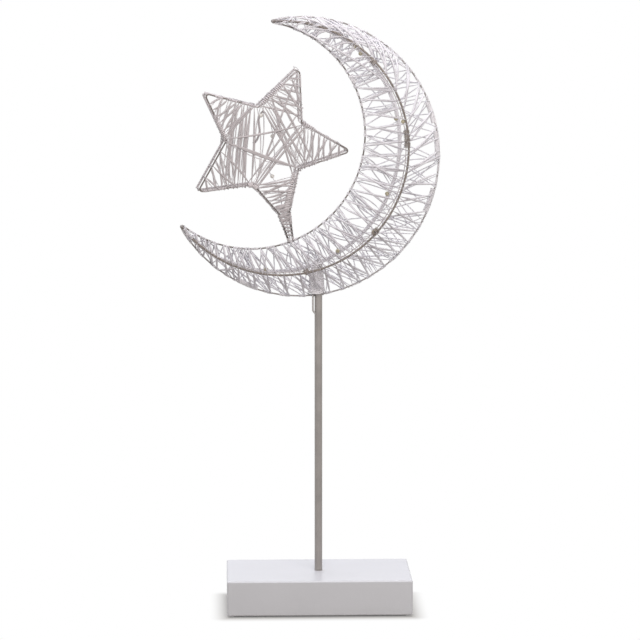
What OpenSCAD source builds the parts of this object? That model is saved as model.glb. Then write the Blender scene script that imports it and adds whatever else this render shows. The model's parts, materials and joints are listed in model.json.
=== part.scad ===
// Moon and star table ornament: a thread-wound wire crescent with a thread-wound star
// in its mouth, on a thin tube that stands in a block with a battery box under it.
// The origin is the centre of the resting face, +Z up, the front towards -Y.

/* [Base] */
// Width of the base block
base_w = 120; // [108:1:160]
// Depth of the base block, front to back
base_d = 70; // [48:1:100]
// Height of the base block
base_h = 23; // [22.5:0.5:32]
// Bevel along the block's edges
base_bevel = 0.8; // [0.3:0.1:1.5]
// Thickness of the felt under the block
felt_t = 1; // [0.6:0.1:2]
// How far the felt stays inside the block's edges
felt_margin = 4; // [1:0.5:6]

/* [Post] */
// Outer diameter of the post tube
post_d = 5; // [4.6:0.1:7]
// Wall of the post tube
post_wall = 0.6; // [0.4:0.1:0.9]
// Height of the tube's end above the spine bar
post_over = 2; // [1.2:0.1:4]
// Distance from the outer wire down to the lead's side hole
side_hole_drop = 10.5; // [8:0.5:40]

/* [Crescent] */
// Radius of the outer edge wire
outer_r = 90.2; // [84:0.2:100]
// Half of the angle that the outer edge wire spans
tip_angle = 126; // [118:1:130]
// Width of the crescent at its middle, outer wire to inner wire
crescent_w = 51.7; // [46:0.1:56]
// Depth of the crescent at its middle, front spine to back spine
crescent_depth = 34; // [28:1:44]
// How far the spines lie outwards of the middle of the width
spine_outset = 1.5; // [0:0.5:3]
// Diameter of the frame wires
wire_d = 1; // [0.8:0.05:1.4]
// Angle by which the crescent's middle hangs below level
crescent_lean = 24.35; // [18:0.5:30]
// Angle by which the head is turned on the post
head_turn = 7.4; // [0:0.2:20]
// Sideways distance from the post to the centre of the outer wire
crescent_x = -11; // [-16:0.5:-6]
// Height of the outer wire's centre above the block
crescent_rise = 271.9; // [200:1:340]

/* [Star] */
// Radius to the sharp corners of the star's arms
star_r = 54; // [50:0.5:56]
// Radius to the corners between the arms
star_notch_r = 26.1; // [24:0.1:28]
// Depth of the star, front outline to back outline
star_depth = 12; // [9:0.5:16]
// Direction of the first arm
star_angle = 68; // [64:0.5:70]
// Sideways place of the star from the outer wire's centre
star_x = -22.5; // [-25:0.1:-20]
// Height of the star's centre above the outer wire's centre
star_z = 7.5; // [6:0.1:12]
// Bend radius at the tips of the arms
tip_bend = 1.6; // [1:0.1:2.4]
// Bend radius between the arms and at the stem's neck
notch_bend = 1.5; // [1:0.1:2.4]
// Distance from the star's centre to the stem's neck
neck_r = 44.5; // [42:0.5:50]
// Width of the stem at its neck, wire to wire
neck_w = 6.6; // [5:0.1:9]
// Depth of the stem at its neck, front wires to back wires
neck_depth = 8; // [5:0.5:10]
// Width of the stem at the inner wire
stem_end_w = 2.8; // [2.4:0.1:6]

/* [Winding] */
// Diameter of the winding thread
thread_d = 1.1; // [0.6:0.05:1.2]
// Number of loops that the whole crescent would take
crescent_loops = 24.5; // [16:0.5:24.5]
// Distance between the loops on the star's arms
star_pitch = 4.7; // [4:0.1:6]

/* [Lamps] */
// Diameter of the lead in the post
lead_d = 1.2; // [0.8:0.1:1.4]
// Diameter of the fine lamp wire
lamp_wire_d = 0.6; // [0.4:0.05:0.7]
// Diameter of a lamp bead
lamp_d = 2.8; // [2:0.1:3]

/* [Battery box] */
// Diameter of a cell
cell_d = 10.5; // [10:0.1:11]
// Length of a cell with its button
cell_l = 44.5; // [43:0.1:46]
// Wall of the battery box
box_wall = 1.8; // [1.6:0.1:2.4]
// Thickness of the battery box's floor
box_floor_t = 1.2; // [1:0.1:2]
// Thickness of the battery door
door_t = 1.4; // [1.2:0.1:2]
// Travel of the battery door until its hooks come free
door_travel = 8; // [6:0.5:9]
// Length of the switch bay
switch_bay = 10; // [9:0.5:12]
// Travel of the switch knob
knob_travel = 3; // [2:0.5:4]

/* [Hidden] */
$fn = 32;

// overrun of every cut, running gap of loose fits, gap round soft pieces
overrun = 1;
fit_gap = 0.2;
close_gap = 0.05;
soft_gap = 0.3;

wire_r = wire_d / 2;
thread_r = thread_d / 2;
lead_r = lead_d / 2;
lamp_wire_r = lamp_wire_d / 2;
post_r = post_d / 2;
bore_r = post_r - post_wall;

// battery box, from its open underside up to its floor
box_recess = 0.3;
cell_gap = 0.25;
contact_t = 0.4;
contact_w = 8;
spring_l = 3.5;
divider_t = 1.5;
box_centre_x = -4;
box_z = felt_t + box_recess;
cell_z = box_z + door_t + fit_gap + cell_gap + cell_d / 2;
cell_y = cell_d / 2 + cell_gap;
box_floor_z = cell_z + cell_d / 2 + cell_gap;
box_top_z = box_floor_z + box_floor_t;
bay_w = 2 * (cell_y + cell_d / 2 + cell_gap);
bay_l = 2 * contact_t + spring_l + cell_l + fit_gap;
box_w = bay_w + 2 * box_wall;
box_l = bay_l + divider_t + switch_bay + 2 * box_wall;
box_x = box_centre_x - box_l / 2;
bay_x = box_x + box_wall;
bay_end_x = bay_x + bay_l;
switch_x = bay_end_x + divider_t + switch_bay / 2;

// foot plate and the space for the lead between it and the box
lead_space = 2;
plate_t = 1.5;
plate_l = 16;
plate_w = 26;
plate_z = box_top_z + lead_space;
pocket_top_z = plate_z + plate_t;
base_top_z = felt_t + base_h;
plate_screw_y = 9;
plate_screw_r = 1.25;
plate_screw_bite = 3.6;
plate_head_r = 2.4;
boss_x = 12;
boss_r = 2.8;
box_screw_r = 1.1;
box_screw_bite = 3.6;
box_head_r = 1.9;
box_head_h = 1.2;

// pocket in the block
pocket_gap = 0.5;
finger_room = 2;
pocket_x = box_x - door_travel - finger_room;
pocket_l = box_x + box_l + pocket_gap - pocket_x;
pocket_w = box_w + 2 * pocket_gap;
felt_window = 1;

// door hooks and their slots in the box's long walls
hook_l = 5;
hook_count = 3;
hook_in = 0.8;
hook_h = 0.8;
hook_lift = 0.35;
hook_gap = 0.15;
hook_pitch = (bay_l - hook_l) / hook_count;
slot_depth = 1;
grip_count = 5;
grip_w = 0.8;
grip_pitch = 1.6;
grip_l = 12;
grip_depth = 0.5;

// slide switch
switch_wall = 1.2;
knob_w = 3;
knob_l = 4;
knob_proud = 0.5;
flange_w = 5.4;
flange_t = 0.8;
flange_l = 11;
lever_w = 2;
can_w = 4.4;
can_l = 8.6;
can_h = 4.7;
can_wall = 0.4;
can_lift = 0.8;
carriage_l = 3.6;
carriage_h = 1.6;
pin_h = 2.6;
pin_w = 0.8;
pin_t = 0.4;
pin_pitch = 2.5;
pillar_w = 1.1;
switch_floor_z = box_z + switch_wall;
flange_z = switch_floor_z + 2 * close_gap;
can_z = flange_z + flange_t + can_lift;

// crescent frame: X towards the crescent's middle, Y to the back, Z along the chord
tip_offset = 0.9;
crescent_z = base_top_z + crescent_rise;
tip_x = outer_r * cos(tip_angle);
outer_half = outer_r * sin(tip_angle);
outer_reach = outer_r - tip_x;
tip_half = outer_half - tip_offset;
inner_half = tip_half - tip_offset;
inner_reach = outer_reach - crescent_w;
spine_flat_reach = outer_reach - crescent_w / 2 + spine_outset;
spine_rise = crescent_depth / 2 - tip_offset;
spine_tilt = atan(spine_rise / spine_flat_reach);
spine_reach = norm([spine_flat_reach, spine_rise]);
tip_weld_r = 1.2;

// each wire of the crescent: half chord, reach, tilt, place of its ends in depth
WIRES = [
    [outer_half, outer_reach, 0, 0],
    [tip_half, spine_reach, -spine_tilt, -tip_offset],
    [inner_half, inner_reach, 0, 0],
    [tip_half, spine_reach, spine_tilt, tip_offset]
];

function unit(v) = v / norm(v);
function mix(a, b, share) = a + (b - a) * share;
function arc_radius(half, reach) = (half * half + reach * reach) / (2 * reach);
function arc_half_angle(half, reach) = atan2(half, arc_radius(half, reach) - reach);
// a point of wire number i at a share of its way from the lower tip to the upper one
function wire_point(i, share) =
    let (w = WIRES[i], r = arc_radius(w[0], w[1]))
    let (a = arc_half_angle(w[0], w[1]) * (2 * share - 1))
    let (x = w[1] - r + r * cos(a))
    [tip_x + x * cos(w[2]), w[3] + x * sin(w[2]), r * sin(a)];
// from the head's frame (post at the origin of X, height from the table) to the crescent's
function to_crescent(p) =
    let (dx = p[0] - crescent_x, dz = p[2] - crescent_z)
    [
        dx * cos(crescent_lean) - dz * sin(crescent_lean),
        p[1],
        dx * sin(crescent_lean) + dz * cos(crescent_lean)
    ];
function from_crescent(p) = [
    crescent_x + p[0] * cos(crescent_lean) + p[2] * sin(crescent_lean),
    p[1],
    crescent_z - p[0] * sin(crescent_lean) + p[2] * cos(crescent_lean)
];
// the share at which wire number i passes over the place x of the head, on its lower side
function share_over(i, x) =
    let (w = WIRES[i], r = arc_radius(w[0], w[1]), half = arc_half_angle(w[0], w[1]))
    let (ca = r * cos(w[2]) * cos(crescent_lean), sa = r * sin(crescent_lean))
    let (k = x - crescent_x - (tip_x + (w[1] - r) * cos(w[2])) * cos(crescent_lean))
    let (a = atan2(sa, ca) - acos(k / norm([ca, sa])))
    (a / half + 1) / 2;

// where the post meets the crescent
post_share = share_over(0, 0);
post_cross = from_crescent(wire_point(0, post_share));
cross_slope = asin(-crescent_x / outer_r);
bar_share = share_over(1, 0);
bar_front = from_crescent(wire_point(1, bar_share));
bar_r = 0.9;
bar_half = -bar_front[1] - wire_r - close_gap;
post_top_z = bar_front[2] + post_over;
weld_r = 1;

// the lead's way out of the post
sleeve_r = 1.15;
sleeve_bore_r = 0.8;
sleeve_l = 9;
sleeve_lift = 3.5;
exit_rise = 4.5;
lead_hole_y = 7;
lead_hole_r = lead_r + 1;
lead_turn_x = 7;
lead_start = 1.8;
lead_bend = 1.6;
lead_side = post_r + sleeve_r + fit_gap;
lead_front = wire_r + lead_r + fit_gap;
side_hole_z = post_cross[2] - side_hole_drop;
sleeve_z = post_cross[2] + sleeve_lift;
LEAD_ROUTE = [
    [switch_x, lead_hole_y, box_floor_z - lead_start],
    [switch_x, lead_hole_y, box_top_z + lead_space / 2],
    [lead_turn_x, lead_hole_y, box_top_z + lead_space / 2],
    [0, 0, box_top_z + lead_space / 2],
    [0, 0, side_hole_z - exit_rise],
    [-lead_side, -lead_front, side_hole_z],
    [-lead_side, -lead_front, sleeve_z + sleeve_l / 2]
];

// star frame: the crescent's inner wire carries the stem
star_cx = crescent_x + star_x;
star_cz = crescent_z + star_z;
stem_angle = star_angle - 144;
inner_wire_r = arc_radius(inner_half, inner_reach);
inner_centre = from_crescent([tip_x + inner_reach - inner_wire_r, 0, 0]);
stem_dir = [cos(stem_angle), 0, sin(stem_angle)];
stem_side = [-sin(stem_angle), 0, cos(stem_angle)];
from_inner = [star_cx, 0, star_cz] - inner_centre;
stem_l = let (b = from_inner * stem_dir)
    sqrt(b * b - from_inner * from_inner + inner_wire_r * inner_wire_r) - b;
stem_foot = [star_cx, 0, star_cz] + stem_l * stem_dir;
stem_foot_y = wire_d + close_gap;
stem_weld_r = 0.75;
inner_radial = unit(stem_foot - inner_centre);
inner_tangent = [-inner_radial[2], 0, inner_radial[0]];
stem_share = let (p = to_crescent(stem_foot))
    (atan2(p[2], p[0] - (tip_x + inner_reach - inner_wire_r))
        / arc_half_angle(inner_half, inner_reach) + 1) / 2;

// a direction in the star's plane, and the outline of one side of the star
function ray(angle, r) = [r * cos(angle), 0, r * sin(angle)];
function in_star(p) = p - [star_cx, 0, star_cz];
// its corners from the stem round, notches and tips in turn, the notches bent by hand
notch_turns = [3, 3, 0, -5, 0];
notch_shares = [0.93, 1.01, 1, 1.05, 1];
function star_corner(k) =
    let (notch = k % 2 == 0, turn = notch ? notch_turns[k / 2] : 0)
    ray(stem_angle + 36 * (k + 1) + turn, notch ? star_notch_r * notch_shares[k / 2] : star_r);
function star_outline(side) = concat(
    [
        in_star(stem_foot + inner_tangent * stem_end_w / 2) + [0, side * stem_foot_y, 0],
        ray(stem_angle, neck_r) + stem_side * neck_w / 2 + [0, side * neck_depth / 2, 0]
    ],
    [for (k = [0:8]) star_corner(k) + [0, side * star_depth / 2, 0]],
    [
        ray(stem_angle, neck_r) - stem_side * neck_w / 2 + [0, side * neck_depth / 2, 0],
        in_star(stem_foot - inner_tangent * stem_end_w / 2) + [0, side * stem_foot_y, 0]
    ]
);
star_bends = concat(
    [0, notch_bend],
    [for (k = [0:8]) k % 2 == 0 ? notch_bend : tip_bend],
    [notch_bend, 0]
);
arm_half_angle = atan(star_notch_r * sin(36) / (star_r - star_notch_r * cos(36)));
round_tip_r = star_r - tip_bend * (1 / sin(arm_half_angle) - 1);

// wires and tubes along points
module placed(x, y, z, at) {
    multmatrix([
        [x[0], y[0], z[0], at[0]],
        [x[1], y[1], z[1], at[1]],
        [x[2], y[2], z[2], at[2]],
        [0, 0, 0, 1]
    ])
        children();
}
// a direction across z, worked out from whichever axis isn't near it
near_axis = 0.9;
function across(z) = unit(cross(abs(z[2]) < near_axis ? [0, 0, 1] : [1, 0, 0], z));
module rod(from, to, r) {
    z = unit(to - from);
    x = across(z);
    placed(x, cross(z, x), z, from) cylinder(h = norm(to - from), r = r);
}
// the points of a wire with its corners bent round
bend_rings = 3;
wire_sides = 10;
cord_sides = 8;
function bend_at(a, b, c, bend) =
    let (u = unit(b - a), v = unit(c - b), turn = acos(u * v))
    let (inward = cross(unit(cross(u, v)), u))
    let (centre = b - u * bend * tan(turn / 2) + inward * bend)
    [
        for (k = [0:bend_rings])
            let (f = turn * k / bend_rings) centre + bend * (sin(f) * u - cos(f) * inward)
    ];
function bent_path(points, bends) =
    let (last = len(points) - 1)
    concat(
        [points[0]],
        [
            for (i = [1:last - 1])
                each bend_at(points[i - 1], points[i], points[i + 1], bends[i])
        ],
        [points[last]]
    );
function tangent_at(points, i) =
    let (n = len(points) - 1)
    i == 0 ? unit(points[1] - points[0])
    : i == n ? unit(points[n] - points[n - 1])
    : unit(unit(points[i] - points[i - 1]) + unit(points[i + 1] - points[i]));
function squared(v, t) = unit(v - (v * t) * t);
// one unbroken tube of triangles along the points
module swept(points, r, sides = 6) {
    n = len(points);
    tangents = [for (i = [0:n - 1]) tangent_at(points, i)];
    first = abs(tangents[0][1]) < near_axis ? [0, 1, 0] : [1, 0, 0];
    normals = [
        for (i = 0, v = squared(first, tangents[0]); i < n;
            i = i + 1, v = i < n ? squared(v, tangents[i]) : v) v
    ];
    corners = [
        for (i = [0:n - 1], j = [0:sides - 1])
            let (a = 360 * j / sides, b = cross(tangents[i], normals[i]))
            points[i] + r * (cos(a) * normals[i] + sin(a) * b)
    ];
    walls = [
        for (i = [0:n - 2], j = [0:sides - 1], half = [0, 1])
            let (k = (j + 1) % sides, low = i * sides, high = low + sides)
            half == 0 ? [low + j, high + j, high + k] : [low + j, high + k, low + k]
    ];
    caps = [
        for (j = [1:sides - 2], end = [0, 1])
            let (last = (n - 1) * sides)
            end == 0 ? [0, j, j + 1] : [last, last + j + 1, last + j]
    ];
    polyhedron(points = corners, faces = concat(walls, caps), convexity = 10);
}
// least gap of a tube to itself, on points that split its long spans, near runs left out
function split_points(points, parts) = [
    for (i = [0:len(points) - 2])
        for (j = [0:(norm(points[i + 1] - points[i]) > 2 * thread_d ? parts - 1 : 0)])
            mix(points[i], points[i + 1], j / parts)
];
span_parts = 4;
star_rings = 14;
function least_gap(points, r, skip, reach) = min([
    for (i = [0:len(points) - 1 - skip])
        for (j = [i + skip:min(len(points) - 1, i + reach)])
            norm(points[i] - points[j]) - 2 * r
]);

// the hook with which a thread's end stands square on a wire and turns to its first span
hook_bend = 0.9;
function end_hook(wire, out, along) =
    let (foot = wire_r + soft_gap, top = foot + thread_d)
    concat(
        [wire + out * foot],
        [
            for (a = [0:45:135])
                wire + out * (top + hook_bend * sin(a)) + along * hook_bend * (1 - cos(a))
        ]
    );
function reversed(list) = [for (i = [len(list) - 1:-1:0]) list[i]];

// crescent winding: loops round the four wires, clear of the post and of the stem
wrap_r = wire_r + thread_r + soft_gap;
loop_step = 1 / (crescent_loops + 1);
inner_phase = let (d = (stem_share - post_share) / loop_step) d - floor(d);
WIRE_PHASES = [0, inner_phase / 2, inner_phase, (1 + inner_phase) / 2];
tip_margin_share = 0.03;
first_loop = ceil((tip_margin_share - post_share) / loop_step - 0.5);
last_loop = floor((1 - tip_margin_share - post_share) / loop_step - 1.5);
corner_rings = 4;
corner_spread = 0.04;
function section_x(share) =
    unit(wire_point(0, share) - wire_point(2, share));
function edge_angle(share, inner) =
    let (x = section_x(share), spine = wire_point(1, share))
    inner
    ? atan2((spine - wire_point(2, share)) * x, -spine[1])
    : atan2((wire_point(0, share) - spine) * x, -spine[1]);
function corner_turns(share) =
    let (a = edge_angle(share, false), b = edge_angle(share, true))
    [[a, -a], [-a, b - 180], [b - 180, -180 - b], [-180 - b, a - 360]];
function corner_ring(share, i, s) =
    let (t = corner_turns(share)[i], a = mix(t[0], t[1], s))
    wire_point(i, share) + wrap_r * (cos(a) * section_x(share) + sin(a) * [0, 1, 0]);
function loop_share(k, i) = post_share + (k + 0.5 + WIRE_PHASES[i]) * loop_step;
function crescent_thread() =
    let (start = loop_share(first_loop, 0), stop = loop_share(last_loop + 1, 0))
    concat(
        end_hook(wire_point(0, start), section_x(start), [0, -1, 0]),
        [
            for (k = [first_loop:last_loop], i = [0:3], m = [0:corner_rings - 1])
                if (k > first_loop || i > 0)
                    let (s = m / (corner_rings - 1))
                    corner_ring(loop_share(k, i) + (s - 0.5) * corner_spread * loop_step, i, s)
        ],
        reversed(end_hook(wire_point(0, stop), section_x(stop), [0, 1, 0]))
    );

// star winding: one thread round each arm, from the notches towards the tip
arm_start_share = 0.1;
arm_stop_share = 0.8;
stem_stop_share = 0.87;
// an arm's corners: left front, right front, right back, left back
ARM_SIDES = [[-1, -1], [1, -1], [1, 1], [-1, 1]];
function arm_thread(k) =
    let (stem = k == 0, angle = stem_angle + 72 * k)
    let (axis = ray(angle, 1), side = ray(angle + 90, 1))
    let (feet = [star_corner(stem ? 8 : 2 * k - 2), star_corner(2 * k)])
    let (neck = axis * neck_r, half_neck = side * neck_w / 2, tip = star_corner(2 * k - 1))
    let (ends = stem ? [neck - half_neck, neck + half_neck] : [tip, tip])
    let (depth = [star_depth / 2, (stem ? neck_depth : star_depth) / 2])
    let (stop_share = stem ? stem_stop_share : arm_stop_share)
    let (run = (ends[0] - feet[0]) * axis * (stop_share - arm_start_share))
    let (loops = floor(run / star_pitch + 0.5))
    let (slack = [for (j = [0, 1]) 1 / (unit(ends[j] - feet[j]) * axis)])
    let (at = function(t, i)
        let (s = mix(arm_start_share, stop_share, t / (loops + 0.5)), j = ARM_SIDES[i][0] > 0 ? 1 : 0)
        mix(feet[j], ends[j], s) + [0, ARM_SIDES[i][1] * mix(depth[0], depth[1], s), 0])
    concat(
        end_hook(at(0, 0), [0, -1, 0], side),
        [
            for (c = [1:4 * loops + 2], m = [0:2])
                let (i = c % 4, a = -180 + 90 * c + 45 * m, j = ARM_SIDES[i][0] > 0 ? 1 : 0)
                at(c / 4, i) + wrap_r * (slack[j] * cos(a) * side + [0, sin(a), 0])
        ],
        reversed(end_hook(at(loops + 0.75, 3), [0, 1, 0], side))
    );

// lamp wire along both spines, inside the winding; its points are counted from the bar
lamp_inset = lamp_d / 2 + wire_r + fit_gap;
lamp_aside = bar_r + lamp_wire_r + fit_gap;
lamp_step = 6;
// steps with a lamp on the front spine, and how many steps lie between lamps on the back one
FRONT_LAMP_STEPS = [4, 13, 20];
lamp_every = 6;
bar_clear_steps = 1;
lamp_turn_x = 26;
spine_r = arc_radius(tip_half, spine_reach);
spine_cx = spine_reach - spine_r;
bar_angle = arc_half_angle(tip_half, spine_reach) * (2 * bar_share - 1);
lamp_turn_angle = acos((lamp_turn_x - spine_cx) / spine_r);
lamp_low = ceil((-lamp_turn_angle - bar_angle) / lamp_step - 0.5);
lamp_high = floor((lamp_turn_angle - bar_angle) / lamp_step - 0.5);
// each point's step and its side, front or back
LAMP_STEPS = concat(
    [for (k = [-1 - bar_clear_steps:-1:lamp_low]) [k, -1]],
    [for (k = [lamp_low:lamp_high]) [k, 1]],
    [for (k = [lamp_high:-1:bar_clear_steps]) [k, -1]]
);
LAMP_POINTS = [
    for (step = LAMP_STEPS)
        let (angle = bar_angle + (step[0] + 0.5) * lamp_step)
        let (x = spine_cx + (spine_r - lamp_aside) * cos(angle))
        [
            tip_x + x * cos(spine_tilt),
            step[1] * (tip_offset + x * sin(spine_tilt) - lamp_inset),
            (spine_r - lamp_aside) * sin(angle)
        ]
];
splice_top = to_crescent([-lead_side, -lead_front, sleeve_z + sleeve_l]);
splice_aside = [lamp_wire_r + close_gap, 0, 0];
splice_overlap = 3;
LAMP_WIRE = concat(
    [
        splice_top - splice_aside + to_crescent([0, 0, -splice_overlap]) - to_crescent([0, 0, 0]),
        splice_top - splice_aside
    ],
    LAMP_POINTS
);
lamp_bore_r = lamp_wire_r + close_gap;

// lamp wire of the star: from the splice past the inner wire, up the stem, round the middle
star_lamp_top = in_star([-lead_side + lamp_wire_r + close_gap, -lead_front, sleeve_z + sleeve_l]);
star_lamp_foot = in_star(stem_foot) - [0, wire_r + lamp_wire_r + fit_gap, 0];
// shares of the way from the splice to the stem, and of the crescent's depth
rise_shares = [[0.42, 0.12], [0.74, 0.13]];
// shares of the way from the stem's foot to the notches
climb_shares = [0.13, 0.29, 0.45, 0.64];
// shares of the notches' radius, of the star's depth and of the radius again
middle_shares = [
    [0.33, 0.08, -1.22], [0.22, 0.16, -0.92], [0.06, 0.16, -0.6], [0.19, 0.08, -0.3],
    [0.15, 0, 0.08], [0.12, -0.08, 0.4], [0.04, -0.12, 0.68], [-0.1, -0.16, 0.86],
    [-0.22, -0.21, 0.66], [-0.2, -0.25, 0.36], [-0.28, -0.21, 0.14], [-0.35, -0.12, 0.08]
];
STAR_LAMP_ROUTE = concat(
    [
        for (p = rise_shares)
            mix(star_lamp_top, star_lamp_foot, p[0]) - [0, p[1] * crescent_depth, 0]
    ],
    [star_lamp_foot],
    [for (p = climb_shares) stem_dir * mix(stem_l, star_notch_r, p)],
    [for (p = middle_shares) [p[0] * star_notch_r, p[1] * star_depth, p[2] * star_notch_r]]
);
STAR_LAMP_PLACES = [5, 8, 11, 14];

module head_place() {
    rotate([0, 0, head_turn]) children();
}
module crescent_place() {
    head_place()
        translate([crescent_x, 0, crescent_z])
            rotate([0, crescent_lean, 0]) children();
}
module star_place() {
    head_place() translate([star_cx, 0, star_cz]) children();
}
module crescent_wire(i) {
    w = WIRES[i];
    r = arc_radius(w[0], w[1]);
    half = arc_half_angle(w[0], w[1]);
    crescent_place()
        translate([tip_x, w[3], 0])
            rotate([0, 0, w[2]])
                translate([w[1] - r, 0, 0])
                    rotate([90, 0, 0])
                        rotate([0, 0, -half])
                            rotate_extrude(angle = 2 * half)
                                translate([r, 0]) circle(wire_r);
}
// a block centred on X and Y
module block(w, d, h) {
    translate([-w / 2, -d / 2, 0]) cube([w, d, h]);
}

module bevelled(w, d) {
    c = base_bevel;
    polygon([
        [-w / 2 + c, -d / 2], [w / 2 - c, -d / 2], [w / 2, -d / 2 + c], [w / 2, d / 2 - c],
        [w / 2 - c, d / 2], [-w / 2 + c, d / 2], [-w / 2, d / 2 - c], [-w / 2, -d / 2 + c]
    ]);
}
module base_block() {
    color("white")
        difference() {
            translate([0, 0, felt_t + base_h / 2])
                intersection() {
                    linear_extrude(base_h, center = true) bevelled(base_w, base_d);
                    rotate([90, 0, 0])
                        linear_extrude(base_d, center = true) bevelled(base_w, base_h);
                    rotate([90, 0, 90])
                        linear_extrude(base_w, center = true) bevelled(base_d, base_h);
                }
            translate([pocket_x, -pocket_w / 2, felt_t - overrun])
                cube([pocket_l, pocket_w, pocket_top_z - felt_t + overrun]);
            cylinder(h = base_top_z + overrun, r = post_r + fit_gap);
            for (side = [-1, 1]) {
                translate([0, side * plate_screw_y, pocket_top_z - overrun])
                    cylinder(h = plate_screw_bite + fit_gap + overrun, r = plate_screw_r + close_gap);
                translate([side * boss_x, 0, pocket_top_z - overrun])
                    cylinder(h = box_screw_bite + fit_gap + overrun, r = box_screw_r + close_gap);
            }
        }
}
module foot_felt() {
    color("dimgray")
        difference() {
            block(base_w - 2 * felt_margin, base_d - 2 * felt_margin, felt_t);
            translate([pocket_x - felt_window, -pocket_w / 2 - felt_window, -overrun])
                cube([
                    pocket_l + 2 * felt_window, pocket_w + 2 * felt_window, felt_t + 2 * overrun
                ]);
        }
}

module post_tube() {
    exit = unit(LEAD_ROUTE[5] - LEAD_ROUTE[4]);
    color("silver")
        difference() {
            translate([0, 0, plate_z]) cylinder(h = post_top_z - plate_z, r = post_r);
            translate([0, 0, plate_z - overrun])
                cylinder(h = post_top_z - plate_z + 2 * overrun, r = bore_r);
            head_place() {
                // the outer wire passes through, and the spine bar near the top
                translate([0, 0, post_cross[2]])
                    rotate([0, 90 - cross_slope, 0])
                        cylinder(h = 4 * post_r, r = wire_r + fit_gap, center = true);
                translate([0, 0, bar_front[2]])
                    rotate([90, 0, 0])
                        cylinder(h = 4 * post_r, r = bar_r + close_gap, center = true);
                // the lead's side hole, aslant
                rod(LEAD_ROUTE[4], LEAD_ROUTE[4] + exit * 3 * post_r, lead_r + soft_gap);
            }
        }
}
module foot_plate() {
    color("darkgray")
        difference() {
            translate([0, 0, plate_z]) block(plate_l, plate_w, plate_t);
            translate([0, 0, plate_z - overrun])
                cylinder(h = plate_t + 2 * overrun, r = post_r + close_gap);
            for (side = [-1, 1])
                translate([0, side * plate_screw_y, plate_z]) {
                    translate([0, 0, -overrun])
                        cylinder(h = plate_t + 2 * overrun, r = plate_screw_r + close_gap);
                    cylinder(
                        h = plate_head_r - plate_screw_r,
                        r1 = plate_head_r + close_gap,
                        r2 = plate_screw_r + close_gap
                    );
                }
        }
}
module plate_screws() {
    color("gray")
        for (side = [-1, 1])
            translate([0, side * plate_screw_y, plate_z]) {
                cylinder(h = plate_head_r - plate_screw_r, r1 = plate_head_r, r2 = plate_screw_r);
                cylinder(h = plate_t + plate_screw_bite, r = plate_screw_r);
            }
}

module outer_wire() {
    color("dimgray") crescent_wire(0);
}
module front_spine() {
    color("dimgray") crescent_wire(1);
}
module inner_wire() {
    color("dimgray") crescent_wire(2);
}
module back_spine() {
    color("dimgray") crescent_wire(3);
}
module tip_welds() {
    color("gray")
        crescent_place()
            for (side = [-1, 1])
                translate([tip_x, 0, side * tip_half]) sphere(tip_weld_r);
}
module spine_bar() {
    color("dimgray")
        head_place()
            translate([0, 0, bar_front[2]])
                rotate([90, 0, 0]) cylinder(h = 2 * bar_half, r = bar_r, center = true);
}
module frame_welds() {
    reach = post_r + weld_r / 2;
    color("gray")
        head_place()
            for (side = [-1, 1]) {
                translate(post_cross + side * reach * [cos(cross_slope), 0, sin(cross_slope)])
                    sphere(weld_r);
                translate([0, side * bar_half, bar_front[2]]) sphere(weld_r);
            }
}

module star_front_wire() {
    color("dimgray") star_place() swept(bent_path(star_outline(-1), star_bends), wire_r, wire_sides);
}
module star_back_wire() {
    color("dimgray") star_place() swept(bent_path(star_outline(1), star_bends), wire_r, wire_sides);
}
module star_spacers() {
    gap = star_depth - wire_d - 2 * close_gap;
    color("dimgray")
        star_place()
            for (k = [1:4])
                translate(ray(stem_angle + 72 * k, round_tip_r))
                    rotate([90, 0, 0]) cylinder(h = gap, r = wire_r, center = true);
}
module stem_welds() {
    color("gray")
        head_place()
            for (across = [-1, 1], side = [-1, 1])
                translate(
                    stem_foot + across * inner_tangent * stem_end_w / 2
                        + [0, side * stem_foot_y / 2, 0]
                )
                    sphere(stem_weld_r);
}

module crescent_winding() {
    thread = crescent_thread();
    rings = 4 * corner_rings;
    split = split_points(thread, span_parts);
    echo(crescent_winding_gap = least_gap(split, thread_r, rings, 8 * rings));
    color("gainsboro") crescent_place() swept(thread, thread_r);
}
module star_winding() {
    color("gainsboro")
        star_place()
            for (k = [0:4]) {
                thread = arm_thread(k);
                split = split_points(thread, span_parts);
                echo(star_winding_gap = least_gap(split, thread_r, star_rings, 6 * star_rings));
                swept(thread, thread_r);
            }
}

module lamp_lead() {
    bends = [for (p = LEAD_ROUTE) lead_bend];
    turned = [
        for (i = [0:len(LEAD_ROUTE) - 1])
            i < 5 ? LEAD_ROUTE[i]
            : let (p = LEAD_ROUTE[i])
                [
                    p[0] * cos(head_turn) - p[1] * sin(head_turn),
                    p[0] * sin(head_turn) + p[1] * cos(head_turn),
                    p[2]
                ]
    ];
    color("white") swept(bent_path(turned, bends), lead_r, cord_sides);
}
module splice_sleeve() {
    color("whitesmoke")
        head_place()
            translate([-lead_side, -lead_front, sleeve_z])
                difference() {
                    cylinder(h = sleeve_l, r = sleeve_r);
                    translate([0, 0, -overrun])
                        cylinder(h = sleeve_l + 2 * overrun, r = sleeve_bore_r);
                }
}
module lamp_bead(from, to) {
    z = unit(to - from);
    x = across(z);
    placed(x, cross(z, x), z, (from + to) / 2)
        difference() {
            sphere(d = lamp_d);
            cylinder(h = 2 * lamp_d, r = lamp_bore_r, center = true);
        }
}
module crescent_lamp_wire() {
    color("silver") crescent_place() swept(LAMP_WIRE, lamp_wire_r);
}
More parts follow.
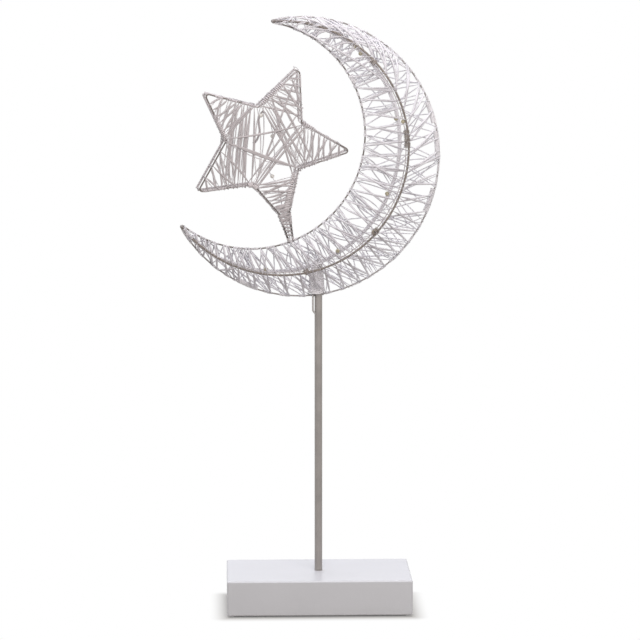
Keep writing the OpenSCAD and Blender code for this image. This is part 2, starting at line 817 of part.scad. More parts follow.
module crescent_lamps() {
    color("lightyellow")
        crescent_place() {
            lamp_bead(LAMP_WIRE[1], LAMP_WIRE[2]);
            for (i = [0:len(LAMP_STEPS) - 2])
                if (LAMP_STEPS[i][1] == LAMP_STEPS[i + 1][1]) {
                    low = min(LAMP_STEPS[i][0], LAMP_STEPS[i + 1][0]);
                    front = LAMP_STEPS[i][1] < 0;
                    due = low - lamp_every * floor(low / lamp_every) == 1;
                    if (front ? len(search(low, FRONT_LAMP_STEPS)) > 0 : due)
                        lamp_bead(LAMP_POINTS[i], LAMP_POINTS[i + 1]);
                }
        }
}
module star_lamp_wire() {
    start = [star_lamp_top - [0, 0, splice_overlap], star_lamp_top];
    color("silver") star_place() swept(concat(start, STAR_LAMP_ROUTE), lamp_wire_r);
}
module star_lamps() {
    color("lightyellow")
        star_place()
            for (i = STAR_LAMP_PLACES)
                lamp_bead(STAR_LAMP_ROUTE[i], STAR_LAMP_ROUTE[i + 1]);
}

// centre of door hook number i at rest
function hook_x(i) = bay_end_x - hook_l - i * hook_pitch;
module battery_box() {
    opening = bay_end_x - box_x;
    color("whitesmoke")
        difference() {
            union() {
                translate([box_x, -box_w / 2, box_z]) cube([box_l, box_w, box_top_z - box_z]);
                for (side = [-1, 1])
                    translate([side * boss_x, 0, box_top_z])
                        cylinder(h = pocket_top_z - box_top_z, r = boss_r);
            }
            // cell bay, door seat, switch bay
            translate([bay_x, -bay_w / 2, box_z - overrun])
                cube([bay_l, bay_w, box_floor_z - box_z + overrun]);
            translate([box_x - overrun, -bay_w / 2, box_z - overrun])
                cube([opening + overrun, bay_w, door_t + fit_gap + overrun]);
            difference() {
                translate([bay_end_x + divider_t, -bay_w / 2, switch_floor_z])
                    cube([switch_bay, bay_w, box_floor_z - switch_floor_z]);
                for (side = [-1, 1])
                    translate([
                        switch_x, side * (can_l - pillar_w) / 2, can_z + can_h + close_gap
                    ])
                        block(can_w, pillar_w, box_floor_z);
            }
            translate([switch_x, 0, box_z - overrun])
                block(
                    knob_w + 2 * fit_gap, knob_l + knob_travel + 2 * fit_gap,
                    switch_wall + 2 * overrun
                );
            for (i = [0:hook_count - 1], side = [-1, 1]) {
                slot_l = hook_l + door_travel + 2 * fit_gap;
                slot_x = hook_x(i) - hook_l / 2 - door_travel - fit_gap;
                half = bay_w / 2 + slot_depth;
                translate([slot_x, side > 0 ? 0 : -half, box_z + hook_lift - hook_gap])
                    cube([slot_l, half, hook_h + 2 * hook_gap]);
                translate([slot_x, side > 0 ? 0 : -half, box_z - overrun])
                    cube([hook_l + 2 * fit_gap, half, hook_lift + overrun + close_gap]);
            }
            for (side = [-1, 1])
                translate([side * boss_x, 0, box_floor_z - overrun])
                    cylinder(h = 2 * overrun + pocket_top_z - box_floor_z, r = box_screw_r + close_gap);
            translate([switch_x - lead_r / 2, lead_hole_y, box_floor_z - overrun])
                cylinder(h = box_floor_t + 2 * overrun, r = lead_hole_r);
        }
}
module box_screws() {
    color("gray")
        for (side = [-1, 1])
            translate([side * boss_x, 0, box_floor_z]) {
                translate([0, 0, -box_head_h]) cylinder(h = box_head_h, r = box_head_r);
                cylinder(h = pocket_top_z - box_floor_z + box_screw_bite, r = box_screw_r);
            }
}
module battery_door() {
    door_l = bay_end_x - box_x - fit_gap;
    door_w = bay_w - 2 * fit_gap;
    grip_x = bay_end_x - grip_count * grip_pitch - hook_l;
    color("whitesmoke") {
        difference() {
            translate([box_x, -door_w / 2, box_z]) cube([door_l, door_w, door_t]);
            for (i = [0:grip_count - 1])
                translate([grip_x + i * grip_pitch, -grip_l / 2, box_z - overrun])
                    cube([grip_w, grip_l, grip_depth + overrun]);
        }
        for (i = [0:hook_count - 1], side = [-1, 1])
            translate([
                hook_x(i) - hook_l / 2,
                side > 0 ? door_w / 2 - overrun : -door_w / 2 - hook_in,
                box_z + hook_lift
            ])
                cube([hook_l, hook_in + overrun, hook_h]);
    }
}
button_l = 1;
button_r = 1.9;
module cells() {
    body_l = cell_l - button_l;
    color("goldenrod")
        for (side = [-1, 1])
            translate([bay_x + bay_l / 2, side * cell_y, cell_z])
                rotate([0, 90 * side, 0])
                    translate([0, 0, (spring_l - cell_l) / 2 + close_gap]) {
                        cylinder(h = body_l, r = cell_d / 2);
                        translate([0, 0, body_l]) cylinder(h = button_l, r = button_r);
                    }
}
module contact(x, y, w) {
    translate([x, y - w / 2, cell_z - contact_w / 2]) cube([contact_t, w, contact_w]);
}
module link_contact() {
    color("silver") contact(bay_x + close_gap, 0, 2 * cell_y + contact_w);
}
module end_contacts() {
    color("silver")
        for (side = [-1, 1])
            contact(bay_end_x - contact_t - close_gap, side * cell_y, contact_w);
}
spring_wire_r = 0.25;
spring_foot_r = 3.2;
spring_head_r = 2;
spring_turns = 2;
module contact_springs() {
    run = spring_l - 4 * spring_wire_r;
    coil = concat(
        [[spring_foot_r, 0, 0]],
        [
            for (i = [0:8 * spring_turns])
                let (s = i / 8 / spring_turns, a = 45 * i)
                let (r = mix(spring_foot_r, spring_head_r, s))
                [r * cos(a), r * sin(a), 2 * spring_wire_r + run * s]
        ],
        [[spring_head_r, 0, run + 4 * spring_wire_r - 4 * close_gap]]
    );
    color("silver")
        for (side = [-1, 1])
            translate([bay_x + bay_l / 2, side * cell_y, cell_z])
                rotate([0, 90 * side, 0])
                    translate([0, 0, -bay_l / 2 + contact_t + 2 * close_gap])
                        swept(coil, spring_wire_r);
}

module switch_body() {
    color("silver")
        translate([switch_x, 0, can_z])
            difference() {
                union() {
                    block(can_w, can_l, can_h);
                    for (i = [-1:1])
                        translate([0, i * pin_pitch, can_h]) block(pin_w, pin_t, pin_h);
                }
                translate([0, 0, can_wall])
                    block(can_w - 2 * can_wall, can_l - 2 * can_wall, can_h - 2 * can_wall);
                translate([0, 0, -overrun])
                    block(
                        lever_w + 2 * fit_gap, lever_w + knob_travel + 2 * fit_gap,
                        can_wall + 2 * overrun
                    );
            }
}
knob_rest_y = -knob_travel / 2;
socket_depth = 1;
module switch_slider() {
    foot_z = flange_z + flange_t - socket_depth + close_gap;
    seat_z = can_z + can_wall + close_gap;
    color("black")
        translate([switch_x, knob_rest_y, 0]) {
            translate([0, 0, foot_z]) block(lever_w, lever_w, seat_z - foot_z + overrun);
            translate([0, 0, seat_z])
                block(can_w - 2 * can_wall - 2 * fit_gap, carriage_l, carriage_h);
        }
}
module switch_knob() {
    color("black")
        translate([switch_x, knob_rest_y, 0])
            difference() {
                union() {
                    translate([0, 0, box_z - knob_proud])
                        block(knob_w, knob_l, flange_z - box_z + knob_proud);
                    translate([0, 0, flange_z]) block(flange_w, flange_l, flange_t);
                }
                translate([0, 0, flange_z + flange_t - socket_depth])
                    block(lever_w + 2 * close_gap, lever_w + 2 * close_gap, socket_depth + overrun);
            }
}

base_block();
foot_felt();
post_tube();
foot_plate();
plate_screws();
outer_wire();
inner_wire();
front_spine();
back_spine();
tip_welds();
spine_bar();
frame_welds();
star_front_wire();
star_back_wire();
star_spacers();
stem_welds();
crescent_winding();
star_winding();
lamp_lead();
splice_sleeve();
crescent_lamp_wire();
crescent_lamps();
star_lamp_wire();
star_lamps();
battery_box();
box_screws();
battery_door();
cells();
link_contact();
end_contacts();
contact_springs();
switch_body();
switch_slider();
switch_knob();
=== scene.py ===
"""Looks of the thread-wound crescent and star ornament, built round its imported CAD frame."""

import json
import math
import random

import bpy
import numpy as np
from mathutils import Matrix, Vector
from numpy.linalg import norm

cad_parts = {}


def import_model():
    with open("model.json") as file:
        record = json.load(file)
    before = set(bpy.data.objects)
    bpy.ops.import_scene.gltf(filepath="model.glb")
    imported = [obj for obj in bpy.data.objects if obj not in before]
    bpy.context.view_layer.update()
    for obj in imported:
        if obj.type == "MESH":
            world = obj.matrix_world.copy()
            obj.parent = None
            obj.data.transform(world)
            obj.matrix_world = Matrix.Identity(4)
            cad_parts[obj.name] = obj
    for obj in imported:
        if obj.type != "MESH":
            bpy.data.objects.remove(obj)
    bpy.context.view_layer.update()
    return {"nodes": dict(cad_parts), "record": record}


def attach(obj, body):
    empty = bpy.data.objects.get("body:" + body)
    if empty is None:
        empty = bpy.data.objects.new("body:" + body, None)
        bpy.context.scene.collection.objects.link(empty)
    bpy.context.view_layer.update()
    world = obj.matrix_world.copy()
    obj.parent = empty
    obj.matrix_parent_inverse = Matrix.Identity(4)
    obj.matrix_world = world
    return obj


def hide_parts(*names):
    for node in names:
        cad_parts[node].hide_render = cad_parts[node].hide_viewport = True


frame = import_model()
NODES = frame["nodes"]
MM = 0.001
UP = np.array([0.0, 0.0, 1.0])
BACK = np.array([0.0, 1.0, 0.0])
TURN = 2 * math.pi

# Sizes of the ornament in millimetres and degrees, as the CAD has them
wire_r = 0.5
outer_r, tip_angle = 90.2, 126.0
crescent_w, crescent_depth, spine_outset = 51.7, 34.0, 1.5
crescent_lean, head_turn = 24.35, 7.4
crescent_x, crescent_z = -11.0, 295.9
tip_offset = 0.9
star_cx, star_cz = -33.5, 303.4
star_r, star_notch_r, star_depth = 54.0, 26.1, 12.0
# the star's corners but the stem's: how many, and the degrees between them
star_corners, corner_step = 9, 36
# its notches, from the stem round: degrees off their even places and share of the radius
notch_turns = (3, 3, 0, -5, 0)
notch_shares = (0.93, 1.01, 1, 1.05, 1)
stem_angle = -76.0
neck_r, neck_w, neck_depth, stem_end_w = 44.5, 6.6, 8.0, 2.8
tip_bend, notch_bend = 1.6, 1.5
stem_foot_y = 1.05
lead_r, lead_bend = 0.6, 1.6
lead_x, lead_y = -3.85, -1.3
sleeve_z, sleeve_l = 209.9, 9.0
# the lamp wires: their gap to the sleeve's middle and to the stem's foot, and how far they go
# down into the sleeve
lamp_wire_r, lamp_wire_gap, lamp_foot_gap, in_sleeve = 0.3, 0.05, 0.2, 3
bar_share = 0.2979
lamp_aside, lamp_inset, lamp_step = 1.4, 2.1, 6.0
# steps of the crescent's lamp wire: its first and last on the front spine, and its ends
lamp_first, lamp_last, lamp_low, lamp_high = -2, 1, -8, 23
spring_wire_r = 0.25
base_w, base_d, felt_margin = 120.0, 70.0, 4.0
# the floor: how far the block's shadow shows, its own reach in metres, and how far its hole stays
# inside the felt
shadow_reach, floor_reach, floor_rim = 12.0, 6.0, 0.5

# Radii of the thread: full between two wires, loose, tight round a wire, and the fine binding;
# then of the cord over the star's middle, of the bundles and of the wrap of the post's top
thread_r, loose_r, tight_r, binding_r = 0.66, 0.4, 0.18, 0.17
cord_r, bundle_thread_r, post_thread_r = 0.32, 0.42, 0.5
wrap_r = wire_r + tight_r
# corners of a thread's turn round a wire, and sides of the thread and of the other tubes
per_turn, thread_sides = 8, 7
binding_sides, lamp_wire_sides, spring_sides, wire_sides, lead_sides = 6, 8, 10, 14, 16
# parts of a thread between two wires, and how steeply its ends grow from tight to full
span_parts, span_taper = 8, 4
# close turns: their pitch, how far off a wire's direction is read, and how unevenly they run
cover_pitch = 0.5
probe, sway_turn, sway_rate, SWAY_STARTS = 0.4, 0.9, 0.35, (0, 6)

tip_x = outer_r * math.cos(math.radians(tip_angle))
outer_half = outer_r * math.sin(math.radians(tip_angle))
outer_reach = outer_r - tip_x
tip_half = outer_half - tip_offset
inner_half = tip_half - tip_offset
inner_reach = outer_reach - crescent_w
spine_flat_reach = outer_reach - crescent_w / 2 + spine_outset
spine_tilt = math.atan2(crescent_depth / 2 - tip_offset, spine_flat_reach)
spine_reach = math.hypot(spine_flat_reach, crescent_depth / 2 - tip_offset)
OUTER, FRONT, INNER, REAR = range(4)
WIRES = [
    (outer_half, outer_reach, 0.0, 0.0),
    (tip_half, spine_reach, -spine_tilt, -tip_offset),
    (inner_half, inner_reach, 0.0, 0.0),
    (tip_half, spine_reach, spine_tilt, tip_offset),
]


# Places and directions
def placed(name, data):
    """a new object of the scene"""
    piece = bpy.data.objects.new(name, data)
    bpy.context.scene.collection.objects.link(piece)
    return piece


def turned(points, degrees, axis):
    """points turned about axis through the origin"""
    m = np.array(Matrix.Rotation(math.radians(degrees), 3, axis))
    return np.asarray(points, float) @ m.T


def base_to_row(points):
    return np.asarray(points, float) * MM


def head_to_row(points):
    return turned(points, head_turn, "Z") * MM


def crescent_to_row(points):
    leaned = turned(points, crescent_lean, "Y") + np.array([crescent_x, 0, crescent_z])
    return head_to_row(leaned)


def star_to_row(points):
    return head_to_row(np.asarray(points, float) + np.array([star_cx, 0, star_cz]))


def head_to_crescent(points):
    moved = np.asarray(points, float) - np.array([crescent_x, 0, crescent_z])
    return turned(moved, -crescent_lean, "Y")


def shares_of(low, high, parts):
    """the ends of so many equal parts between low and high"""
    return [low + (high - low) * k / parts for k in range(parts + 1)]


def unit(v):
    return v / max(norm(v), 1e-12)


def arc_of(half, reach):
    """radius and half angle of an arc with that half chord and reach"""
    r = (half * half + reach * reach) / (2 * reach)
    return r, math.atan2(half, r - reach)


def wire_point(i, share):
    """a point of crescent wire i at a share of its way from the lower tip"""
    half, reach, tilt, w = WIRES[i]
    r, full = arc_of(half, reach)
    angle = full * (2 * share - 1)
    x = reach - r + r * math.cos(angle)
    return np.array([tip_x + x * math.cos(tilt), w + x * math.sin(tilt), r * math.sin(angle)])


def along_wire(i, share):
    """the direction of crescent wire i there, towards the upper tip"""
    near = 0.002
    return unit(wire_point(i, share + near) - wire_point(i, share - near))


# Threads and wires as unbroken tubes
def tube_rings(points, radius, sides):
    """corners of a tube along points, one ring per point; a fourth number is its own radius"""
    p = np.asarray(points, float)
    radii = p[:, 3] if p.shape[1] == 4 else np.full(len(p), radius)
    p = p[:, :3]
    d = np.diff(p, axis=0)
    d /= np.maximum(norm(d, axis=1, keepdims=True), 1e-9)
    t = np.vstack([d[:1], d[:-1] + d[1:], d[-1:]])
    t /= np.maximum(norm(t, axis=1, keepdims=True), 1e-9)
    side = BACK if abs(t[0] @ BACK) < 0.8 else UP
    rings = np.empty((len(p), sides, 3))
    a = np.arange(sides) * TURN / sides
    for k in range(len(p)):
        side = unit(side - (side @ t[k]) * t[k])
        other = np.cross(t[k], side)
        rings[k] = p[k] + radii[k] * (np.cos(a)[:, None] * side + np.sin(a)[:, None] * other)
    return rings


def tube_piece(name, paths, to_row, radius=None, sides=thread_sides):
    """one mesh of a tube along each path, in mm in its own frame; without a radius each point of
    a path has its own"""
    corners, faces = [], []
    for path in paths:
        base = len(corners)
        rings = tube_rings(path, radius, sides)
        n = len(rings)
        corners.extend(to_row(rings.reshape(-1, 3)))
        for k in range(n - 1):
            low, high = base + k * sides, base + (k + 1) * sides
            for j in range(sides):
                m = (j + 1) % sides
                faces.append((low + j, low + m, high + m, high + j))
        faces.append(tuple(base + j for j in range(sides))[::-1])
        faces.append(tuple(base + (n - 1) * sides + j for j in range(sides)))
    mesh = bpy.data.meshes.new(name)
    mesh.from_pydata([tuple(c) for c in corners], [], faces)
    mesh.polygons.foreach_set("use_smooth", [len(f.vertices) == 4 for f in mesh.polygons])
    mesh.update()
    return placed(name, mesh)


def bent(points, bends, rings=6):
    """points with each inner corner bent round"""
    p = [np.asarray(q, float) for q in points]
    out = [p[0]]
    for i in range(1, len(p) - 1):
        u, v = unit(p[i] - p[i - 1]), unit(p[i + 1] - p[i])
        turn = math.acos(max(-1, min(1, u @ v)))
        if turn < 1e-4:
            out.append(p[i])
            continue
        inward = np.cross(unit(np.cross(u, v)), u)
        centre = p[i] - u * bends[i] * math.tan(turn / 2) + inward * bends[i]
        for k in range(rings + 1):
            f = turn * k / rings
            out.append(centre + bends[i] * (math.sin(f) * u - math.cos(f) * inward))
    out.append(p[-1])
    return out


def eased(points, per=4):
    """a smooth curve through the points"""
    p = np.asarray(points, float)
    ends = np.vstack([2 * p[0] - p[1], p, 2 * p[-1] - p[-2]])
    out = []
    for i in range(len(p) - 1):
        a, b, c, d = ends[i:i + 4]
        for k in range(per):
            t = k / per
            out.append(0.5 * (2 * b + (c - a) * t + (2 * a - 5 * b + 4 * c - d) * t * t
                              + (3 * b - a - 3 * c + d) * t ** 3))
    out.append(p[-1])
    return out


def wound_round(path, radius, pitch, rng, thread=tight_r):
    """thread wound along a wire that follows path, a little unevenly"""
    p = np.asarray(path, float)
    lengths = np.concatenate([[0], np.cumsum(norm(np.diff(p, axis=0), axis=1))])
    count = max(int(lengths[-1] / pitch * per_turn), per_turn)

    def place(s):
        return np.array([np.interp(s, lengths, p[:, j]) for j in range(3)])

    side = BACK
    out = []
    sway = rng.uniform(*SWAY_STARTS)
    for k in range(count + 1):
        s = lengths[-1] * k / count
        t = unit(place(min(s + probe, lengths[-1])) - place(max(s - probe, 0)))
        side = unit(side - (side @ t) * t)
        other = np.cross(t, side)
        a = TURN * k / per_turn + sway_turn * math.sin(s * sway_rate + sway)
        out.append([*(place(s) + radius * (math.cos(a) * side + math.sin(a) * other)), thread])
    return out


def close_turns(path, rng, layer=0.0, pitch=cover_pitch):
    """turns over a layer of thread, in thicker thread the thicker that layer is"""
    return wound_round(path, wrap_r + layer, pitch, rng, tight_r + layer / 4)


def span(a, b, bow, full_r):
    """a thread between two wires, bowed by a vector and full but at its tight ends"""
    out = []
    for t in shares_of(0, 1, span_parts)[1:-1]:
        full = min(1.0, span_taper * t, span_taper * (1 - t))
        at = a[:3] + (b[:3] - a[:3]) * t + 4 * t * (1 - t) * bow
        out.append(np.array([*at, tight_r + (full_r - tight_r) * full]))
    return out


def join(path, ring, bow, full_r=thread_r):
    """carry the thread's path over to a ring, bowed by a vector"""
    if path:
        path.extend(span(path[-1], ring[0], bow, full_r))
    path.extend(ring)


# Crescent winding: the thread goes round the outer wire, front spine, inner wire and back spine
LEAN_PLACES = (0.0, 0.12, 0.3, 0.45, 0.6, 0.72, 0.84, 0.93, 1.0)
PASS_LEANS = {
    # how far the thread leans from square to the wires, in degrees, at those places: as it comes
    # to the outer wire, to the inner one and to the back spine
    "up": ((4, 14, 20, 26, 42, 58, 64, 52, 8), (4, 16, 14, 17, 24, 22, 18, 12, 2),
           (-6, -16, -18, -22, -28, -30, -24, -10, -2)),
    "down": ((-4, -17, -20, -14, 14, 46, 56, 40, 4), (-4, -18, -20, -22, -18, -16, -20, -14, -2),
             (6, 18, 22, 24, 20, 18, 16, 8, 2)),
}
DENSE_PLACES = (0.0, 0.05, 0.12, 0.24, 0.30, 0.36, 0.5, 0.62, 0.8, 0.93, 1.0)
DENSE_SHARES = (1.0, 1.1, 1.2, 1.1, 1.6, 1.4, 1.2, 1.1, 0.95, 0.8, 0.6)
WAYS_ROUND = {
    # angles at which the thread meets and leaves each wire
    OUTER: lambda out_face, in_face: (-out_face, out_face),
    FRONT: lambda out_face, in_face: (out_face, in_face),
    INNER: lambda out_face, in_face: (in_face, TURN - in_face),
    REAR: lambda out_face, in_face: (TURN - in_face, TURN - out_face),
}
# whole turns that the thread may add at a wire, and between which shares of it
EXTRA_TURNS = {OUTER: (1, 2, 3), FRONT: (0,), INNER: (0, 1, 2), REAR: (0,)}
EXTRA_FROM, EXTRA_TO = 0.06, 0.94
# arc length that makes shares of a wire of the leans, and how much of a lean counts at the back
winding_arc, rear_lean_share = 333.0, 0.5
# steps with which the dense and the sparse places are measured out
place_steps = 600
# creep of the thread along a wire as it goes round it, and more of it per whole turn
creep, creep_per_turn = 0.0022, 0.0014
# jitter of a turn's place, in steps, and the bow of a span and of a slack one, by its length
place_jitter, span_bow, slack_bow = 0.1, 0.012, 0.1
# first and last share of a wire for the front and for the back threads
FIRST_SHARE, LAST_SHARE = 0.004, 0.996
REAR_FIRST, REAR_LAST = 0.01, 0.99
# where the front threads are slack, and where those to the inner wire hang sideways
SLACK_PLACES, SLACK_SHARES = (0.6, 0.7, 0.85, 0.95), (0.0, 1.0, 1.0, 0.0)
HANG_PLACES, HANG_SHARES = (0.8, 0.86, 0.95, 0.98), (0.0, 1.0, 1.0, 0.0)
HANG_BOWS, HANG_WAYS = (0.1, 0.32), (-1, 1, 1)
# how much a back thread bows, along the wires and in depth
rear_bow_along, rear_bow_deep = 0.05, 0.02
# jitter of the upper panels' threads, and how much their curves vary
panel_jitter = 0.15
BULGE_RANGE, OUTWARD_RANGE = (0.7, 1.2), (0.6, 1.3)
# ties of the lamp wire to the front spine: middle and half length, as shares of the spine; four
# turns of every five go round both, which leaves a long tie a little open
BINDING_TIES = ((0.268, 0.005), (0.425, 0.008), (0.62, 0.018), (0.785, 0.005))
tie_turns, tie_cycle = 4, 5


def between(x, xs, ys):
    return float(np.interp(x, xs, ys))


def width_axis(share):
    return unit(wire_point(OUTER, share) - wire_point(INNER, share))


def round_wire(i, share, layer, turns=0):
    """the thread's way round wire i: over its outside, with whole turns besides"""
    x = width_axis(share)
    outer, front, inner = (wire_point(k, share) for k in (OUTER, FRONT, INNER))
    deep = -front[1]
    out_face = math.atan2((outer - front) @ x, deep)
    in_face = math.atan2((front - inner) @ x, -deep)
    a0, a1 = WAYS_ROUND[i](out_face, in_face)
    a1 += TURN * turns
    steps = 3 + per_turn * turns
    out = []
    for s in shares_of(0, 1, steps):
        a = a0 + (a1 - a0) * s
        q = min(max(share + (creep + creep_per_turn * turns) * (s - 0.5), 0.0), 1.0)
        # the angle runs from the outer side to the front
        at = wire_point(i, q) + (wrap_r + layer) * (math.cos(a) * x - math.sin(a) * BACK)
        out.append(np.array([*at, tight_r]))
    return out


def turn_places(count, low, high):
    """shares of the turns, closer where the winding is denser"""
    fine = np.linspace(low, high, place_steps)
    weight = np.interp(fine, DENSE_PLACES, DENSE_SHARES)
    total = np.concatenate([[0], np.cumsum((weight[1:] + weight[:-1]) / 2)])
    return np.interp(np.linspace(0, total[-1], count), total, fine)


def crescent_pass(kind, count, layer, low, high, spread, rng):
    """one run of the thread from tip to tip, round all four wires"""
    outer_leans, inner_leans, rear_leans = PASS_LEANS[kind]
    places = turn_places(count, low, high)
    if kind == "down":
        places = places[::-1]
    path = []
    for n, place in enumerate(places):
        step = (places[n + 1] - place) if n + 1 < len(places) else places[n] - places[n - 1]
        place = place + rng.uniform(-place_jitter, place_jitter) * step
        half = norm(wire_point(OUTER, place) - wire_point(INNER, place)) / 2

        def shifted(leans):
            lean = between(place, LEAN_PLACES, leans) + rng.gauss(0, spread)
            return math.tan(math.radians(lean)) * half / winding_arc

        # each wire is met a quarter of a step further on
        hits = {
            OUTER: place + shifted(outer_leans),
            FRONT: place + 0.25 * step,
            INNER: place + 0.5 * step - shifted(inner_leans),
            REAR: place + 0.75 * step + rear_lean_share * shifted(rear_leans),
        }
        for i, hit in hits.items():
            share = min(max(hit, FIRST_SHARE), LAST_SHARE)
            more = EXTRA_FROM < share < EXTRA_TO
            ring = round_wire(i, share, layer, rng.choice(EXTRA_TURNS[i]) if more else 0)
            bow = 0
            if path:
                length = norm((ring[0] - path[-1])[:3])
                x = width_axis(share)
                bow = rng.gauss(0, span_bow) * length * x
                if i in (FRONT, OUTER):
                    slack = between(place, SLACK_PLACES, SLACK_SHARES)
                    bow = bow + slack_bow * slack * length * x
                if i == INNER:
                    hang = between(place, HANG_PLACES, HANG_SHARES)
                    sideways = rng.uniform(*HANG_BOWS) * rng.choice(HANG_WAYS)
                    bow = bow + hang * sideways * length * along_wire(INNER, share)
            join(path, ring, bow, thread_r if i in (FRONT, INNER) else loose_r)
    return path


def rear_pass(count, layer, low, high, lean, rng):
    """thread that goes to and fro over the back panels only, slack and crossing"""
    path = []
    for place in turn_places(count, low, high):
        for i in (OUTER, REAR, INNER, REAR):
            share = min(max(place + rng.uniform(-lean, lean), REAR_FIRST), REAR_LAST)
            ring = round_wire(i, share, layer)
            bow = 0
            if path:
                length = norm((ring[0] - path[-1])[:3])
                bow = length * (rng.gauss(0, rear_bow_along) * along_wire(i, share)
                                + rng.gauss(0, rear_bow_deep) * BACK)
            join(path, ring, bow, loose_r)
    return path


def panel_run(i, start, end, teeth, reach, layer, bulge, outward, rng):
    """thread to and fro over one front panel near the upper tip, between the front spine and
    wire i: reach is how far along the wires a strand runs, bulge and outward how it curves"""
    path = []
    for n in range(2 * teeth):
        off = rng.uniform(-panel_jitter, panel_jitter)
        share = start + (end - start) * (n + off) / (2 * teeth)
        at_spine = n % 2 == 0
        ring = round_wire(FRONT if at_spine else i, share - (0 if at_spine else reach), layer)
        if i == INNER and not at_spine or i == OUTER and at_spine:
            ring = ring[::-1]
        bow = 0
        if path:
            length = norm((ring[0] - path[-1])[:3])
            way = 1 if at_spine else -1
            bow = length * (way * rng.uniform(*BULGE_RANGE) * bulge * along_wire(i, share)
                            + outward * rng.uniform(*OUTWARD_RANGE) * width_axis(share))
        join(path, ring, bow)
    return path


# passes of the crescent's thread: kind, turns, layer, from, to and spread of the leans
MAIN_PASSES = (
    ("up", 29, 0.0, 0.022, 0.85, 1.8), ("down", 29, 0.15, 0.022, 0.84, 1.8),
    ("up", 3, 0.15, 0.88, 0.965, 1.8),
)
LOOSE_PASS = ("up", 6, 0.3, 0.08, 0.85, 14.0)
# runs over the upper panels: wire, from, to, teeth, reach, layer, bulge and outward
PANEL_RUNS = (
    (INNER, 0.965, 0.81, 6, 0.01, 0.4, 0.22, 0.0), (OUTER, 0.96, 0.82, 4, 0.1, 0.4, 0.03, 0.045),
)
# passes over the back panels: turns, layer, from, to and lean
REAR_PASSES = ((26, 0.1, 0.06, 0.9, 0.03), (22, 0.25, 0.06, 0.88, 0.05))


def crescent_winding():
    rng = random.Random(11)
    paths = [crescent_pass(*run, rng) for run in MAIN_PASSES]
    paths += [panel_run(*run, rng) for run in PANEL_RUNS]
    paths.append(crescent_pass(*LOOSE_PASS, rng))
    paths += [rear_pass(*run, rng) for run in REAR_PASSES]
    return tube_piece("crescent_winding_thread", paths, crescent_to_row)


# the wrap of the post's top: half its width and depth and its place across; corners of a turn,
# turns of the first lap and how many fewer the next have; heights between which the laps run
wrap_half_w, wrap_half_d, wrap_x = 4.5, 3.5, -1.35
wrap_corners, wrap_turns, fewer_turns = 12, 19, 4
WRAP_LAPS = ((207.6, 229.0), (229.0, 208.5), (208.5, 222.0))
# how it narrows over the tube's end
WRAP_HEIGHTS = (207, 213, 219, 222.5, 226.5, 229.5)
WRAP_SHARES = (1.06, 1.0, 0.9, 0.76, 0.68, 0.25)
# how uneven it is: in angle, in height and in girth
wrap_sway, wrap_sway_rate = 0.2, 9
wrap_slant, wrap_jitter = 1.1, 0.12
wrap_swell, wrap_swell_rate = 0.05, 5


def post_wrap(rng):
    """thread wound over the tube's top, the lead and its splice, inside the crescent"""
    out = []
    for lap, (low, high) in enumerate(WRAP_LAPS):
        steps = (wrap_turns - fewer_turns * lap) * wrap_corners
        for k in range(steps):
            s = k / steps
            a = TURN * k / wrap_corners + wrap_sway * math.sin(wrap_sway_rate * s)
            off = wrap_slant * math.sin(a + lap)
            z = low + (high - low) * s + off + rng.uniform(-wrap_jitter, wrap_jitter)
            narrow = between(z, WRAP_HEIGHTS, WRAP_SHARES)
            swell = wrap_swell * math.sin(wrap_swell_rate * s + lap)
            girth = narrow * (1 + wrap_swell * lap + swell)
            x = wrap_x * min(narrow, 1) + wrap_half_w * girth * math.cos(a)
            out.append([x, wrap_half_d * girth * math.sin(a), z])
    return [[*p, post_thread_r] for p in head_to_crescent(out)]


def lamp_point(angle, side):
    """a place of the lamp wire beside the front spine (side -1) or the back one (side 1)"""
    r = arc_of(tip_half, spine_reach)[0]
    x = spine_reach - r + (r - lamp_aside) * math.cos(angle)
    y = side * (tip_offset + x * math.sin(spine_tilt) - lamp_inset)
    return np.array([tip_x + x * math.cos(spine_tilt), y, (r - lamp_aside) * math.sin(angle)])


# the binding of the front spine: length of the spine, pitch, and from where to where
binding_l, binding_pitch, BINDING_ENDS = 250.0, 0.42, (0.03, 0.97)


def spine_binding():
    """fine dark thread wound along the front spine; here and there it ties the lamp wire to it"""
    count = int(binding_l / binding_pitch * per_turn)
    spine_half = arc_of(tip_half, spine_reach)[1]
    out = []
    for k, share in enumerate(shares_of(*BINDING_ENDS, count)):
        a = TURN * k / per_turn
        centre, radius = wire_point(FRONT, share), wire_r + binding_r
        tied = any(abs(share - middle) < half for middle, half in BINDING_TIES)
        if tied and k // per_turn % tie_cycle < tie_turns:
            other = lamp_point(spine_half * (2 * share - 1), -1)
            radius = norm(other - centre) / 2 + wire_r + binding_r
            centre = (centre + other) / 2
        t = along_wire(FRONT, share)
        side = unit(np.cross(t, BACK))
        out.append(centre + radius * (math.cos(a) * side + math.sin(a) * np.cross(t, side)))
    return tube_piece("spine_binding_thread", [out], crescent_to_row, binding_r, binding_sides)


# the coil of thread along the back spine: from, to, layer and pitch
BACK_COIL = (0.01, 0.99, 0.3, 0.8)
# stretches of the wires that are covered by close turns: wire, from, to
COVERED = (
    (OUTER, 0.004, 0.03), (OUTER, 0.97, 0.996), (INNER, 0.02, 0.045), (INNER, 0.975, 0.995),
    (FRONT, 0.005, 0.03),
)
# wires that are covered and bare by turns: wire, share covered, share bare; then from where to
# where, and how the stretches vary
DASHES = ((OUTER, 0.012, 0.012), (INNER, 0.013, 0.014))
DASHES_FROM, DASHES_TO = 0.05, 0.95
DASH_RANGE = (0.5, 1.5)
